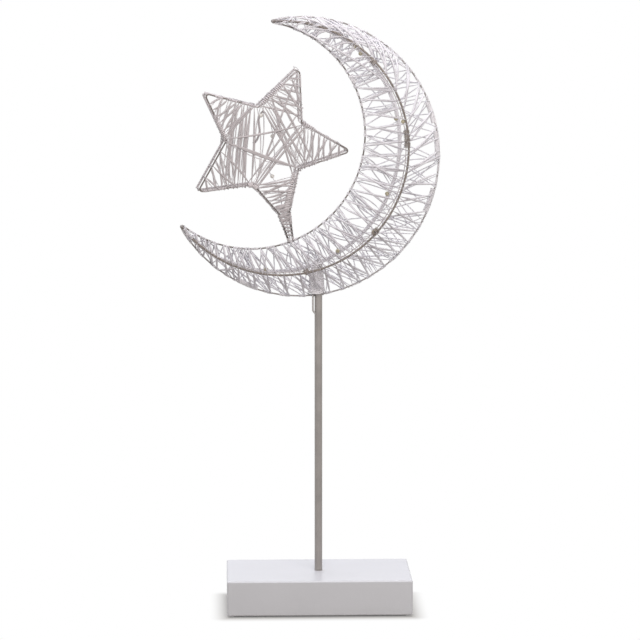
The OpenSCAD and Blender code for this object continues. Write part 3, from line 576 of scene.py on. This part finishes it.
# thick bundles of thread inside a wire: wire, from, to
BUNDLES = (
    (OUTER, 0.129, 0.166), (OUTER, 0.5, 0.54), (OUTER, 0.59, 0.635), (OUTER, 0.65, 0.685),
    (INNER, 0.745, 0.765),
)
bundle_inset, bundle_layer, bundle_pitch = 1.3, 0.4, 0.85
# steps in which a whole wire would be taken
stretch_steps = 120


def wire_stretch(i, low, high):
    parts = max(int((high - low) * stretch_steps), 3)
    return [wire_point(i, share) for share in shares_of(low, high, parts)]


def crescent_wire_turns():
    """the close turns of the crescent's thread round its wires, its bundles and the wrap of the
    post's top"""
    rng = random.Random(12)
    low, high, layer, pitch = BACK_COIL
    coiled = wire_stretch(REAR, low, high)
    paths = [post_wrap(rng), wound_round(coiled, wrap_r + layer, pitch, rng, bundle_thread_r)]
    for i, low, high in BUNDLES:
        stretch = wire_stretch(i, low, high)
        inset = bundle_inset * width_axis(low) * (1 if i == OUTER else -1)
        inside = [p - inset for p in stretch]
        radius = wrap_r + bundle_layer
        paths.append(wound_round(inside, radius, bundle_pitch, rng, bundle_thread_r))
        paths.append(close_turns(stretch, rng))
    for i, low, high in COVERED:
        paths.append(close_turns(wire_stretch(i, low, high), rng))
    for i, covered, bare in DASHES:
        share = DASHES_FROM
        while share < DASHES_TO:
            end = share + covered * rng.uniform(*DASH_RANGE)
            paths.append(close_turns(wire_stretch(i, share, end), rng))
            share = end + bare * rng.uniform(*DASH_RANGE)
    return tube_piece("crescent_wire_turns", paths, crescent_to_row)


# Star: two bent outline wires and their thread
def ray(angle, r):
    a = math.radians(angle)
    return np.array([r * math.cos(a), 0.0, r * math.sin(a)])


inner_wire_r = arc_of(inner_half, inner_reach)[0]
leaned_centre = turned([tip_x + inner_reach - inner_wire_r, 0, 0], crescent_lean, "Y")
inner_centre = leaned_centre + np.array([crescent_x, 0, crescent_z])
stem_dir = ray(stem_angle, 1)
stem_side = np.array([-stem_dir[2], 0, stem_dir[0]])
from_inner = np.array([star_cx, 0, star_cz]) - inner_centre
toward = from_inner @ stem_dir
stem_l = math.sqrt(toward ** 2 - from_inner @ from_inner + inner_wire_r ** 2) - toward
stem_foot = stem_l * stem_dir
foot_radial = unit(stem_foot + from_inner)
foot_tangent = np.array([-foot_radial[2], 0, foot_radial[0]])


def star_corner(k):
    """corner k of the star, from the stem round: notches and tips in turn"""
    notch = k % 2 == 0
    turn = notch_turns[k // 2] if notch else 0
    r = star_notch_r * notch_shares[k // 2] if notch else star_r
    return ray(stem_angle + corner_step * (k + 1) + turn, r)


def star_outline(side):
    """corners of one outline wire, from the stem's right foot round to its left foot"""
    y = BACK * side
    foot, neck = stem_foot + y * stem_foot_y, ray(stem_angle, neck_r) + y * neck_depth / 2
    out = [foot + foot_tangent * stem_end_w / 2, neck + stem_side * neck_w / 2]
    out += [star_corner(k) + y * star_depth / 2 for k in range(star_corners)]
    return out + [neck - stem_side * neck_w / 2, foot - foot_tangent * stem_end_w / 2]


STAR_BENDS = [0, notch_bend, *[notch_bend, tip_bend] * 4, notch_bend, notch_bend, 0]
STAR_BACK = star_outline(1)
# angles of the thread's corners over one outline wire
QUARTER = [math.pi / 2 * m / 3 for m in range(4)]
# jitter of a thread's place, in steps, and the first and the last share of an edge
edge_jitter, EDGE_FIRST, EDGE_LAST = 0.22, 0.01, 0.985
# how much a thread bows, and of the thread over the back its bow, jitter and layer
star_bow, back_bow, back_jitter, back_layer = 0.03, 0.06, 0.8, 0.05


def on_edge(edge, share):
    """a point at mid depth, the outward direction and the half depth on an edge of the outline"""
    a, b = STAR_BACK[edge], STAR_BACK[edge + 1]
    p = a + (b - a) * share
    flat = np.array([1, 0, 1])
    along = unit((b - a) * flat)
    return p * flat, np.array([along[2], 0, -along[0]]), p[1]


def round_edge(edge, share, layer, to_back):
    """the thread's way over an edge of the star, over its front and back wires"""
    middle, outward, half = on_edge(edge, share)
    front, back, r = middle - BACK * half, middle + BACK * half, wrap_r + layer
    out = [front + r * (math.sin(a) * outward - math.cos(a) * BACK) for a in QUARTER]
    out += [back + r * (math.cos(a) * outward + math.sin(a) * BACK) for a in QUARTER]
    out = [np.array([*p, tight_r]) for p in out]
    return out if to_back else out[::-1]


def bowed_aside(start, end, spread, rng):
    """the bow of a thread from start to end, square to the depth"""
    d = (end - start)[:3]
    return rng.gauss(0, spread) * norm(d) * unit(np.cross(d, BACK))


def star_run(first, second, turns, layer, rng):
    """thread from one edge to the other and back: each of first and second is (edge, low, high)"""
    path = []
    for n in range(turns):
        places = []
        for (edge, low, high), s in ((first, n / turns), (second, (n + 0.5) / turns)):
            share = low + (high - low) * (s + rng.uniform(-edge_jitter, edge_jitter) / turns)
            places.append((edge, min(max(share, EDGE_FIRST), EDGE_LAST)))
        for k, (edge, share) in enumerate(places):
            ring = round_edge(edge, share, layer, k == 1)
            bow = bowed_aside(path[-1], ring[0], star_bow, rng) if path else 0
            join(path, ring, bow, thread_r if k == 1 else loose_r)
    return path


def star_back_run(first, second, times, rng):
    """thread to and fro between two edges over the back wire only"""
    path = []
    for n in range(2 * times):
        edge, low, high = second if n % 2 else first
        s = (n + rng.uniform(-back_jitter, back_jitter)) / (2 * times)
        share = low + (high - low) * min(max(s, 0), 1)
        ring = round_edge(edge, share, back_layer, True)[len(QUARTER):]
        bow = bowed_aside(path[-1], ring[-1], back_bow, rng) if path else 0
        join(path, ring[::-1] + ring, bow, loose_r)
    return path


# edges of the outline from the stem's right foot round to its left one
(STEM_R, LOW_R, RIGHT_LOW, RIGHT_TOP, UP_R, UP_L, LEFT_TOP, LEFT_OUT, LOW_LEFT_TOP, LOW_LEFT_LOW,
 LOW_L, STEM_L) = range(12)
# runs of the star's thread: edge, from and to, twice over, then turns and layer
STAR_RUNS = (
    # right arm
    ((RIGHT_TOP, 0.97, 0.12), (RIGHT_LOW, 0.02, 0.85), 6, 0.0),
    ((RIGHT_LOW, 0.1, 0.7), (RIGHT_TOP, 0.8, 0.2), 3, 0.3),
    # upper arm
    ((UP_L, 0.97, 0.1), (UP_R, 0.04, 0.88), 6, 0.0),
    ((UP_R, 0.02, 0.5), (UP_L, 0.8, 0.1), 3, 0.3),
    # left arm
    ((LEFT_TOP, 0.1, 0.85), (LEFT_OUT, 0.9, 0.15), 5, 0.0),
    ((LEFT_TOP, 0.3, 0.9), (LEFT_OUT, 0.95, 0.5), 3, 0.3),
    # lower left arm
    ((LOW_LEFT_TOP, 0.05, 0.88), (LOW_LEFT_LOW, 0.7, 0.15), 5, 0.0),
    ((LOW_LEFT_LOW, 0.9, 0.2), (LOW_LEFT_TOP, 0.1, 0.8), 3, 0.3),
    # lower arm and stem
    ((LOW_L, 0.3, 0.95), (LOW_R, 0.9, 0.06), 4, 0.0),
    ((LOW_R, 0.7, 0.02), (LOW_L, 0.2, 0.95), 3, 0.3),
    ((LOW_L, 0.8, 0.99), (LOW_R, 0.25, 0.02), 4, 0.3),
    ((STEM_L, 0.01, 0.42), (STEM_R, 0.99, 0.55), 5, 0.0),
    ((STEM_R, 0.98, 0.7), (STEM_L, 0.05, 0.3), 2, 0.3),
    ((LOW_L, 0.03, 0.3), (LOW_R, 0.85, 0.35), 3, 0.5),
    # middle: down from the upper left edges to the lower ones
    ((LEFT_TOP, 0.42, 0.03), (LOW_LEFT_LOW, 0.45, 0.98), 7, 0.4),
    ((LEFT_TOP, 0.12, 0.03), (LEFT_OUT, 0.9, 0.97), 2, 0.8),
    ((UP_L, 0.98, 0.45), (RIGHT_LOW, 0.01, 0.35), 4, 0.4),
    ((UP_L, 0.95, 0.5), (LOW_R, 0.97, 0.6), 2, 0.7),
    ((RIGHT_TOP, 0.97, 0.85), (LOW_L, 0.03, 0.15), 3, 0.7),
    ((UP_R, 0.3, 0.03), (LOW_LEFT_LOW, 0.95, 0.8), 1, 0.9),
    # long strands over everything
    ((LOW_LEFT_TOP, 0.03, 0.01), (RIGHT_LOW, 0.02, 0.04), 3, 1.2),
    ((LEFT_OUT, 0.96, 0.99), (RIGHT_TOP, 0.9, 0.99), 1, 1.2),
    ((UP_L, 0.03, 0.06), (LOW_L, 0.04, 0.02), 1, 1.2),
)
# close turns on the front outline: edge, from, to and, where they aren't plain, layer and pitch
STAR_COVERED = (
    (UP_L, 0.08, 0.99), (UP_L, 0.4, 0.9, 0.7, 1.3),
    (LEFT_TOP, 0.02, 0.3), (LEFT_TOP, 0.4, 0.55), (LEFT_TOP, 0.65, 0.8),
    (LEFT_OUT, 0.45, 0.99, 0.1), (LEFT_OUT, 0.6, 0.95, 0.6, 1.2),
    (RIGHT_TOP, 0.3, 0.98), (RIGHT_TOP, 0.75, 0.97, 0.7, 1.3),
    (LOW_LEFT_LOW, 0.1, 0.5), (LOW_LEFT_LOW, 0.6, 0.98),
    (UP_R, 0.05, 0.3), (UP_R, 0.4, 0.55), (UP_R, 0.65, 0.9),
    (RIGHT_LOW, 0.05, 0.35), (RIGHT_LOW, 0.45, 0.8), (LOW_R, 0.1, 0.98), (LOW_L, 0.01, 0.15, 0.2),
    (STEM_R, 0.6, 0.98, 0.1), (STEM_L, 0.02, 0.4, 0.1),
    # the knot at the lower left notch
    (LOW_L, 0.0, 0.13, 0.9, 0.8), (LOW_LEFT_LOW, 0.9, 1.0, 0.9, 0.8),
    # the stem's foot
    (STEM_R, 0.02, 0.16, 0.1), (STEM_L, 0.84, 0.98, 0.1),
)
# the thick bundle inside the lower arm's right edge: edge, from, to, layer, pitch
STAR_BUNDLES = (
    (LOW_R, 0.3, 0.9, 0.6, 1.3), (LOW_R, 0.03, 0.5, 1.1, 1.2), (LOW_R, 0.05, 0.4, 0.8, 1.7),
)
star_bundle_inset = 2.4
# the part of each edge of the back outline that is covered
BACK_COVERED = (0.04, 0.96)
# the sparser thread between the stem's winding and its foot
STEM_FOOT_RUN = ((STEM_L, 0.42, 0.9), (STEM_R, 0.55, 0.12), 3, 0.0)
# loose thread to and fro over the back only: the two edges and the times over
STAR_BACK_RUNS = (
    ((LEFT_TOP, 0.5, 0.02), (LOW_LEFT_LOW, 0.4, 0.98), 3),
    ((UP_L, 0.98, 0.5), (LOW_L, 0.02, 0.4), 2),
    ((UP_R, 0.05, 0.6), (UP_L, 0.9, 0.3), 2),
    ((RIGHT_TOP, 0.98, 0.5), (LOW_R, 0.98, 0.5), 2),
)
# parts of a stretch of an edge, steps between two places of the star's lamp wire, and how many of
# its last steps are a hook of wound cord, with the cord's pitch
edge_parts, lamp_parts, hook_steps, hook_pitch = 6, 6, 26, 0.7


def outline_stretch(side, edge, low, high):
    a, b = star_outline(side)[edge:edge + 2]
    return [a + (b - a) * share for share in shares_of(low, high, edge_parts)]


def star_winding():
    rng = random.Random(5)
    paths = [star_run(*run, rng) for run in STAR_RUNS]
    paths += [star_back_run(*run, rng) for run in STAR_BACK_RUNS]
    hook = eased(star_lamp_path(), lamp_parts)[-hook_steps:]
    paths.append(wound_round(hook, lamp_wire_r + binding_r, hook_pitch, rng, cord_r))
    paths.append(star_run(*STEM_FOOT_RUN, rng))
    return tube_piece("star_winding_thread", paths, star_to_row)


def star_edge_turns():
    """the close turns of the star's thread round its two outline wires"""
    rng = random.Random(6)
    paths = []
    for edge, low, high, *cover in STAR_COVERED:
        paths.append(close_turns(outline_stretch(-1, edge, low, high), rng, *cover))
    for edge, low, high, layer, pitch in STAR_BUNDLES:
        inset = star_bundle_inset * on_edge(edge, low)[1]
        inside = [p - inset for p in outline_stretch(-1, edge, low, high)]
        paths.append(close_turns(inside, rng, layer, pitch))
    for edge in range(LOW_R, STEM_L):
        paths.append(close_turns(outline_stretch(1, edge, *BACK_COVERED), rng))
    return tube_piece("star_edge_turns", paths, star_to_row)


# Lamp wires, lead and springs
def crescent_lamp_path():
    """from the bar down the front spine, up the whole back one and down the front one again"""
    bar_angle = math.degrees(arc_of(tip_half, spine_reach)[1]) * (2 * bar_share - 1)
    steps = [(k, -1) for k in range(lamp_first, lamp_low - 1, -1)]
    steps += [(k, 1) for k in range(lamp_low, lamp_high + 1)]
    steps += [(k, -1) for k in range(lamp_high, lamp_last - 1, -1)]
    points = [lamp_point(math.radians(bar_angle + (k + 0.5) * lamp_step), s) for k, s in steps]
    top = np.array([lead_x - lamp_wire_r - lamp_wire_gap, lead_y, sleeve_z + sleeve_l])
    return np.vstack([head_to_crescent([top - in_sleeve * UP, top]), points])


# the star's lamp wire: up the front to the stem's foot, up the stem and round the star's middle
RISE_SHARES = ((0.42, 0.12), (0.74, 0.13))
CLIMB_SHARES = (0.13, 0.29, 0.45, 0.64)
MIDDLE_SHARES = (
    (0.33, 0.08, -1.22), (0.22, 0.16, -0.92), (0.06, 0.16, -0.6), (0.19, 0.08, -0.3),
    (0.15, 0, 0.08), (0.12, -0.08, 0.4), (0.04, -0.12, 0.68), (-0.1, -0.16, 0.86),
    (-0.22, -0.21, 0.66), (-0.2, -0.25, 0.36), (-0.28, -0.21, 0.14), (-0.35, -0.12, 0.08),
)


def star_lamp_path():
    x, z = lead_x + lamp_wire_r + lamp_wire_gap - star_cx, sleeve_z + sleeve_l - star_cz
    top = np.array([x, lead_y, z])
    foot = stem_foot - BACK * (wire_r + lamp_wire_r + lamp_foot_gap)
    points = [top - in_sleeve * UP, top]
    points += [top + (foot - top) * s - BACK * d * crescent_depth for s, d in RISE_SHARES]
    points.append(foot)
    points += [stem_dir * (stem_l + (star_notch_r - stem_l) * s) for s in CLIMB_SHARES]
    whole = np.array([star_notch_r, star_depth, star_notch_r])
    return points + [np.array(shares) * whole for shares in MIDDLE_SHARES]


# the lead's corners in the block and up the post, and its ends outside the post
LEAD_INSIDE = ((21.25, 7, 12.1), (21.25, 7, 16.1), (7, 7, 16.1), (0, 0, 16.1), (0, 0, 191.37))
LEAD_HEIGHTS = (195.87, 214.37)
lead_bend_rings = 8


def lead_path():
    """from the battery box up the tube, out of its side hole and into the splice sleeve"""
    outside = turned([(lead_x, lead_y, z) for z in LEAD_HEIGHTS], head_turn, "Z")
    corners = [*LEAD_INSIDE, *outside]
    return bent(corners, [lead_bend] * len(corners), lead_bend_rings)


def spring_paths():
    """the two cells' contact springs, pressed to their working length"""
    foot_r, head_r, length, turns, per = 3.2, 2.0, 3.5, 2, 24
    cell_y, cell_z, bay_x, bay_l, contact_t = 5.5, 8.4, -34.25, 49.0, 0.4
    foot_gap, contact_gap, head_gap = 0.05, 0.1, 0.2
    run = length - 4 * spring_wire_r
    coil = [[foot_r, 0, foot_gap]]
    for k in range(turns * per + 1):
        s, a = k / (turns * per), TURN * k / per
        r = foot_r + (head_r - foot_r) * s
        coil.append([r * math.cos(a), r * math.sin(a), 2 * spring_wire_r + run * s])
    coil.append([head_r, 0, run + 4 * spring_wire_r - head_gap])
    coil = np.array(coil) + UP * (contact_t + contact_gap - bay_l / 2)
    x = bay_x + bay_l / 2
    return [turned(coil, 90 * s, "Y") + np.array([x, s * cell_y, cell_z]) for s in (-1, 1)]


# Materials and the effects that they share
def group(name, inputs, outputs):
    """an effect that materials share, and its nodes for what goes in and comes out"""
    g = bpy.data.node_groups.new(name, "ShaderNodeTree")
    for label, kind, value in inputs:
        g.interface.new_socket(label, in_out="INPUT", socket_type=kind).default_value = value
    for label, kind in outputs:
        g.interface.new_socket(label, in_out="OUTPUT", socket_type=kind)
    return g, g.nodes.new("NodeGroupInput"), g.nodes.new("NodeGroupOutput")


def feed(nt, node, inputs):
    """give inputs of a node their values, or what feeds them: an output or a node's first one"""
    for place, given in inputs.items():
        if isinstance(given, bpy.types.Node):
            given = given.outputs[0]
        if isinstance(given, bpy.types.NodeSocket):
            nt.links.new(given, node.inputs[place])
        else:
            node.inputs[place].default_value = given
    return node


def add_node(nt, kind, inputs=None, operation=None):
    node = nt.nodes.new("ShaderNode" + kind)
    if operation:
        node.operation = operation
    return feed(nt, node, inputs or {})


def add_effect(nt, effect, inputs):
    """a shared effect in a material, under its own name"""
    node = nt.nodes.new("ShaderNodeGroup")
    node.name, node.node_tree = effect.name, effect
    return feed(nt, node, inputs)


def own_noise(g, given, detail):
    """noise on the piece's own coordinates, in the group's scale"""
    where, scale = add_node(g, "TexCoord").outputs["Object"], given.outputs["Scale"]
    return add_node(g, "TexNoise", {"Vector": where, "Scale": scale, "Detail": detail})


def fine_grain():
    """height of the small bumps of a surface"""
    g, given, out = group(
        "fine_grain", [("Scale", "NodeSocketFloat", 500.0)], [("Height", "NodeSocketFloat")])
    feed(g, out, {"Height": own_noise(g, given, 4)})
    return g


def mottle():
    """colour that varies a little over the surface, and a roughness that goes with it"""
    g, given, out = group(
        "mottle",
        [("Colour", "NodeSocketColor", (1, 1, 1, 1)), ("Spread", "NodeSocketFloat", 0.1),
         ("Roughness", "NodeSocketFloat", 0.5), ("Scale", "NodeSocketFloat", 60.0)],
        [("Colour", "NodeSocketColor"), ("Roughness", "NodeSocketFloat")])
    low, high = (add_node(g, "Math", {0: 1, 1: given.outputs["Spread"]}, operation)
                 for operation in ("SUBTRACT", "ADD"))
    share = add_node(g, "MapRange", {
        "Value": own_noise(g, given, 3), "From Min": 0.3, "From Max": 0.7,
        "To Min": low, "To Max": high})
    colour = add_node(g, "VectorMath", {0: given.outputs["Colour"], "Scale": share}, "SCALE")
    rough = add_node(g, "Math", {0: given.outputs["Roughness"], 1: share}, "MULTIPLY")
    rough.use_clamp = True
    feed(g, out, {"Colour": colour, "Roughness": rough})
    return g


FINE_GRAIN, MOTTLE = fine_grain(), mottle()


def new_material(name):
    m = bpy.data.materials.new(name)
    m.use_nodes = True
    return m


def look(name, colour, roughness, metallic=0.0, coat=0.0, grain=(0.1, 900.0, 0.2),
         spread=(0.05, 60.0), sheen=0.0):
    """a material: grain is (strength, scale, height in mm), spread is (share, scale)"""
    m = new_material(name)
    nt = m.node_tree
    varied = add_effect(nt, MOTTLE, {
        "Colour": (*colour, 1), "Roughness": roughness, "Spread": spread[0], "Scale": spread[1]})
    fine = add_effect(nt, FINE_GRAIN, {"Scale": grain[1]})
    bump = add_node(nt, "Bump", {"Height": fine, "Strength": grain[0], "Distance": grain[2] * MM})
    feed(nt, nt.nodes["Principled BSDF"], {
        "Base Color": varied, "Roughness": varied.outputs["Roughness"], "Normal": bump,
        "Metallic": metallic, "Coat Weight": coat, "Sheen Weight": sheen})
    return m


def thread_look(name, colour, spread):
    return look(name, colour, 0.85, grain=(0.8, 1800, 0.2), spread=spread, sheen=0.2)


def bead_look(name, colour, spread):
    return look(name, colour, 0.2, coat=0.6, grain=(0.05, 1500, 0.1), spread=spread)


def painted_light_by_depth(m, back, low, high, across=0.0):
    """let a material's colour turn from its own, darker with painted shade at the front, to the
    paler one of the back, with painted light, between two depths of the head, in mm, and with
    across to the right as well"""
    # painted shade at the front of the head, painted light towards its back and its right
    nt = m.node_tree
    varied = nt.nodes["mottle"]
    turn = math.radians(head_turn)
    depth = add_node(nt, "VectorMath", {
        0: add_node(nt, "TexCoord").outputs["Object"],
        1: (across - math.sin(turn), math.cos(turn), 0)}, "DOT_PRODUCT")
    share = add_node(nt, "MapRange", {
        "Value": depth.outputs["Value"], "From Min": low * MM, "From Max": high * MM})
    mix = nt.nodes.new("ShaderNodeMix")
    mix.data_type = "RGBA"
    feed(nt, mix, {
        "A": varied.inputs["Colour"].default_value[:], "B": (*back, 1), "Factor": share})
    feed(nt, varied, {"Colour": mix.outputs["Result"]})
    return m


# looks of the record's slots
LOOKS = {
    "painted_wood": look("white_paint_on_wood", (0.745, 0.75, 0.79), 0.42, coat=0.15,
                         grain=(0.15, 700, 0.2), spread=(0.02, 25)),
    "felt": look("pressed_felt", (0.16, 0.16, 0.165), 0.95,
                 grain=(0.9, 2500, 0.3), spread=(0.25, 900)),
    "painted_tube": look("warm_grey_tube", (0.365, 0.34, 0.323), 0.4, 0.3,
                         grain=(0.1, 1500, 0.1), spread=(0.12, 90)),
    "plated_steel": look("zinc_plate", (0.6, 0.6, 0.62), 0.35, 1.0, spread=(0.08, 300)),
    "frame_wire": look("grey_frame_wire", (0.33, 0.305, 0.30), 0.5, 0.3,
                       grain=(0.2, 2000, 0.1), spread=(0.15, 120)),
    # the thread: painted shade darkens its front strands, painted light makes its back and right
    # ones paler
    "thread": painted_light_by_depth(thread_look("spun_paper_thread", (0.42, 0.39, 0.42), (0.08, 150)),
                            (0.86, 0.85, 0.90), -17, -1, 0.09),
    "lead_jacket": look("clear_grey_jacket", (0.48, 0.465, 0.455), 0.35, coat=0.3,
                        spread=(0.05, 200)),
    # the lamp wire: painted shade at the front of the head, painted light paler at its back
    "lamp_wire": painted_light_by_depth(
        look("varnished_wire", (0.58, 0.54, 0.53), 0.45, 0.1, spread=(0.1, 300)),
        (0.9, 0.89, 0.92), -12, 2),
    "lamp_bead": bead_look("clear_bead", (0.50, 0.45, 0.31), (0.2, 500)),
    "box_plastic": look("moulded_white", (0.78, 0.78, 0.77), 0.5,
                        grain=(0.2, 1500, 0.1), spread=(0.02, 80)),
    "cell_jacket": look("cell_jacket_film", (0.45, 0.34, 0.10), 0.3, 0.4, spread=(0.05, 90)),
    "contact_metal": look("nickel_plate", (0.72, 0.71, 0.68), 0.3, 1.0,
                          grain=(0.1, 2500, 0.05), spread=(0.06, 400)),
    "black_plastic": look("moulded_black", (0.04, 0.04, 0.042), 0.45,
                          grain=(0.2, 2500, 0.1), spread=(0.1, 200)),
}
# looks of single pieces that differ from their slot's
# the star's thread: painted shade at its front, painted light at its back
STAR_THREAD = painted_light_by_depth(thread_look("star_paper_thread", (0.53, 0.495, 0.51), (0.1, 90)),
                            (0.99, 0.975, 0.99), -2, 5)
BINDING = look("dark_binding_thread", (0.34, 0.295, 0.265), 0.8,
               grain=(0.5, 2000, 0.1), spread=(0.25, 90), sheen=0.1)
# a paler copy of the thread for its close turns, bundles and the post's wrap: painted light that
# offsets their shade
WIRE_TURNS = thread_look("paper_thread_with_painted_light", (0.90, 0.885, 0.92), (0.05, 90))
# a paler copy of the star's thread for its close turns round the outline wires: painted light that
# offsets their shade
STAR_TURNS = thread_look("star_thread_with_painted_light", (0.74, 0.70, 0.72), (0.12, 90))
# a darker copy of the frame wire for the front spine, the inner wire and the star's front outline:
# painted shade
PAINTED_SHADE_WIRE = look("wire_with_painted_shade", (0.18, 0.155, 0.145), 0.45, 0.3,
                 grain=(0.2, 2000, 0.1), spread=(0.15, 120))
# a pale copy of the frame wire for the back spine and the star's back outline, under their thread:
# pale as that thread and with painted light on the back of the head
COVERED_LIT_WIRE = look("covered_wire_with_painted_light", (0.86, 0.84, 0.86), 0.8,
                    grain=(0.8, 1500, 0.3), spread=(0.12, 250))
CLEAR_BEAD = bead_look("pale_clear_bead", (0.82, 0.80, 0.76), (0.1, 500))
OWN_LOOKS = {
    "star_winding": STAR_THREAD, "star_lamps": CLEAR_BEAD,
    "front_spine": PAINTED_SHADE_WIRE, "inner_wire": PAINTED_SHADE_WIRE, "star_front_wire": PAINTED_SHADE_WIRE,
    "back_spine": COVERED_LIT_WIRE, "star_back_wire": COVERED_LIT_WIRE,
}
SLOTS = {s["node"]: s["material_slot"] for s in frame["record"]["subparts"]}


def dress(piece, node):
    """give a piece the look of a node of the CAD"""
    piece.data.materials.clear()
    piece.data.materials.append(OWN_LOOKS.get(node, LOOKS[SLOTS[node]]))


def stand_for(piece, node, own_look=None):
    """let a piece take a node's place and finish"""
    dress(piece, node)
    if own_look:
        piece.data.materials[0] = own_look
    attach(piece, "ornament")
    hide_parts(node)


for node, piece in NODES.items():
    dress(piece, node)
stand_for(crescent_winding(), "crescent_winding")
stand_for(crescent_wire_turns(), "crescent_winding", WIRE_TURNS)
stand_for(spine_binding(), "crescent_winding", BINDING)
stand_for(star_winding(), "star_winding")
stand_for(star_edge_turns(), "star_winding", STAR_TURNS)
for node, name, *tube in (
        ("star_front_wire", "star_front_bent_wire", [bent(star_outline(-1), STAR_BENDS)],
         star_to_row, wire_r, wire_sides),
        ("star_back_wire", "star_back_bent_wire", [bent(STAR_BACK, STAR_BENDS)],
         star_to_row, wire_r, wire_sides),
        ("crescent_lamp_wire", "crescent_lamp_fine_wire", [eased(crescent_lamp_path())],
         crescent_to_row, lamp_wire_r, lamp_wire_sides),
        ("star_lamp_wire", "star_lamp_fine_wire", [eased(star_lamp_path(), lamp_parts)],
         star_to_row, lamp_wire_r, lamp_wire_sides),
        ("lamp_lead", "lamp_lead_jacket", [lead_path()], base_to_row, lead_r, lead_sides),
        ("contact_springs", "coiled_contact_springs", spring_paths(),
         base_to_row, spring_wire_r, spring_sides)):
    stand_for(tube_piece(name, *tube), node)


# Floor, backdrop, lights and camera
def sees_surround(nt):
    """the rays that see the white surround: from the camera, off gloss and through clear parts"""
    path = add_node(nt, "LightPath")
    seen = path.outputs["Is Camera Ray"]
    for ray_kind in ("Is Glossy Ray", "Is Transmission Ray"):
        seen = add_node(nt, "Math", {0: seen, 1: path.outputs[ray_kind]}, "MAXIMUM")
    return seen


def floor():
    """a white floor that fades to the white surround and keeps the shadow near the block; from
    below it is clear, and it has a hole under the felt, so that the door and the knob show"""
    mesh = bpy.data.meshes.new("floor")
    x, y = ((size / 2 - felt_margin - floor_rim) * MM for size in (base_w, base_d))
    corners = [(u * sx, v * sy, 0) for u, v in ((floor_reach, floor_reach), (x, y))
               for sx, sy in ((-1, -1), (1, -1), (1, 1), (-1, 1))]
    mesh.from_pydata(corners, [], [(k, (k + 1) % 4, 4 + (k + 1) % 4, 4 + k) for k in range(4)])
    m = new_material("plain_floor")
    nt = m.node_tree
    paint = feed(nt, nt.nodes["Principled BSDF"],
                 {"Base Color": (0.46, 0.44, 0.41, 1), "Roughness": 0.9})
    # how far a place lies outside the block's outline
    at = add_node(nt, "VectorMath", {0: add_node(nt, "TexCoord").outputs["Object"]}, "ABSOLUTE")
    half_block = (base_w / 2 * MM, base_d / 2 * MM, 0)
    for operation, other in (("SUBTRACT", half_block), ("MAXIMUM", (0, 0, 0))):
        at = add_node(nt, "VectorMath", {0: at, 1: other}, operation)
    far = add_node(nt, "VectorMath", {0: at}, "LENGTH").outputs["Value"]
    ramp = add_node(nt, "MapRange", {
        "Value": far, "From Min": -shadow_reach / 2 * MM, "From Max": shadow_reach * MM})
    ramp.interpolation_type = "SMOOTHSTEP"
    white = add_node(nt, "Math", {0: ramp, 1: sees_surround(nt)}, "MULTIPLY")
    glow = add_node(nt, "Emission", {"Color": (1, 1, 1, 1), "Strength": 1.0})
    from_above = add_node(nt, "MixShader", {"Fac": white, 1: paint, 2: glow})
    below = add_node(nt, "NewGeometry").outputs["Backfacing"]
    clear = add_node(nt, "BsdfTransparent")
    surface = add_node(nt, "MixShader", {"Fac": below, 1: from_above, 2: clear})
    feed(nt, nt.nodes["Material Output"], {"Surface": surface})
    mesh.materials.append(m)
    piece = placed("floor", mesh)


def light(name, place, size, power, colour=(1, 1, 1), aim=(0, 0, 0.25)):
    data = bpy.data.lights.new(name, "AREA")
    data.size, data.energy, data.color = size, power, colour
    piece = placed(name, data)
    piece.location = place
    piece.rotation_euler = (Vector(aim) - Vector(place)).to_track_quat("-Z", "Y").to_euler()


def world():
    """warm light from all round, in a surround that is seen white"""
    w = bpy.data.worlds.new("studio")
    bpy.context.scene.world = w
    w.use_nodes = True
    nt = w.node_tree
    warm = feed(nt, nt.nodes["Background"], {"Color": (1.0, 0.96, 0.91, 1), "Strength": 0.30})
    white = add_node(nt, "Background", {"Color": (1, 1, 1, 1), "Strength": 1.0})
    mix = add_node(nt, "MixShader", {"Fac": sees_surround(nt), 1: warm, 2: white})
    feed(nt, nt.nodes["World Output"], {"Surface": mix})


def camera():
    """the camera as fitted to the block, the post and the crescent's circles"""
    distance, azimuth, height = 2188.6 * MM, -1.819, 488.1 * MM
    pitch, yaw = 7.768, -0.027
    sensor, focal_px, picture_px = 36, 3400, 640
    data = bpy.data.cameras.new("camera")
    data.sensor_width = sensor
    data.lens = sensor * focal_px / picture_px
    piece = placed("camera", data)
    a = math.radians(azimuth)
    piece.location = (distance * math.sin(a), -distance * math.cos(a), height)
    piece.rotation_euler = (math.radians(90 - pitch), 0, math.radians(azimuth + yaw))
    bpy.context.scene.camera = piece


bpy.context.scene.view_settings.view_transform = "Standard"
floor()
world()
light("overhead", (-0.3, 0.5, 2.4), 2.2, 37, (0.87, 0.90, 1.0))
light("front_high", (0.08, -0.42, 0.62), 0.5, 2.5, (1.0, 0.955, 0.93), (0.02, 0, 0.38))
light("under_fill", (0.15, -0.25, -0.8), 0.6, 5.0)
camera()
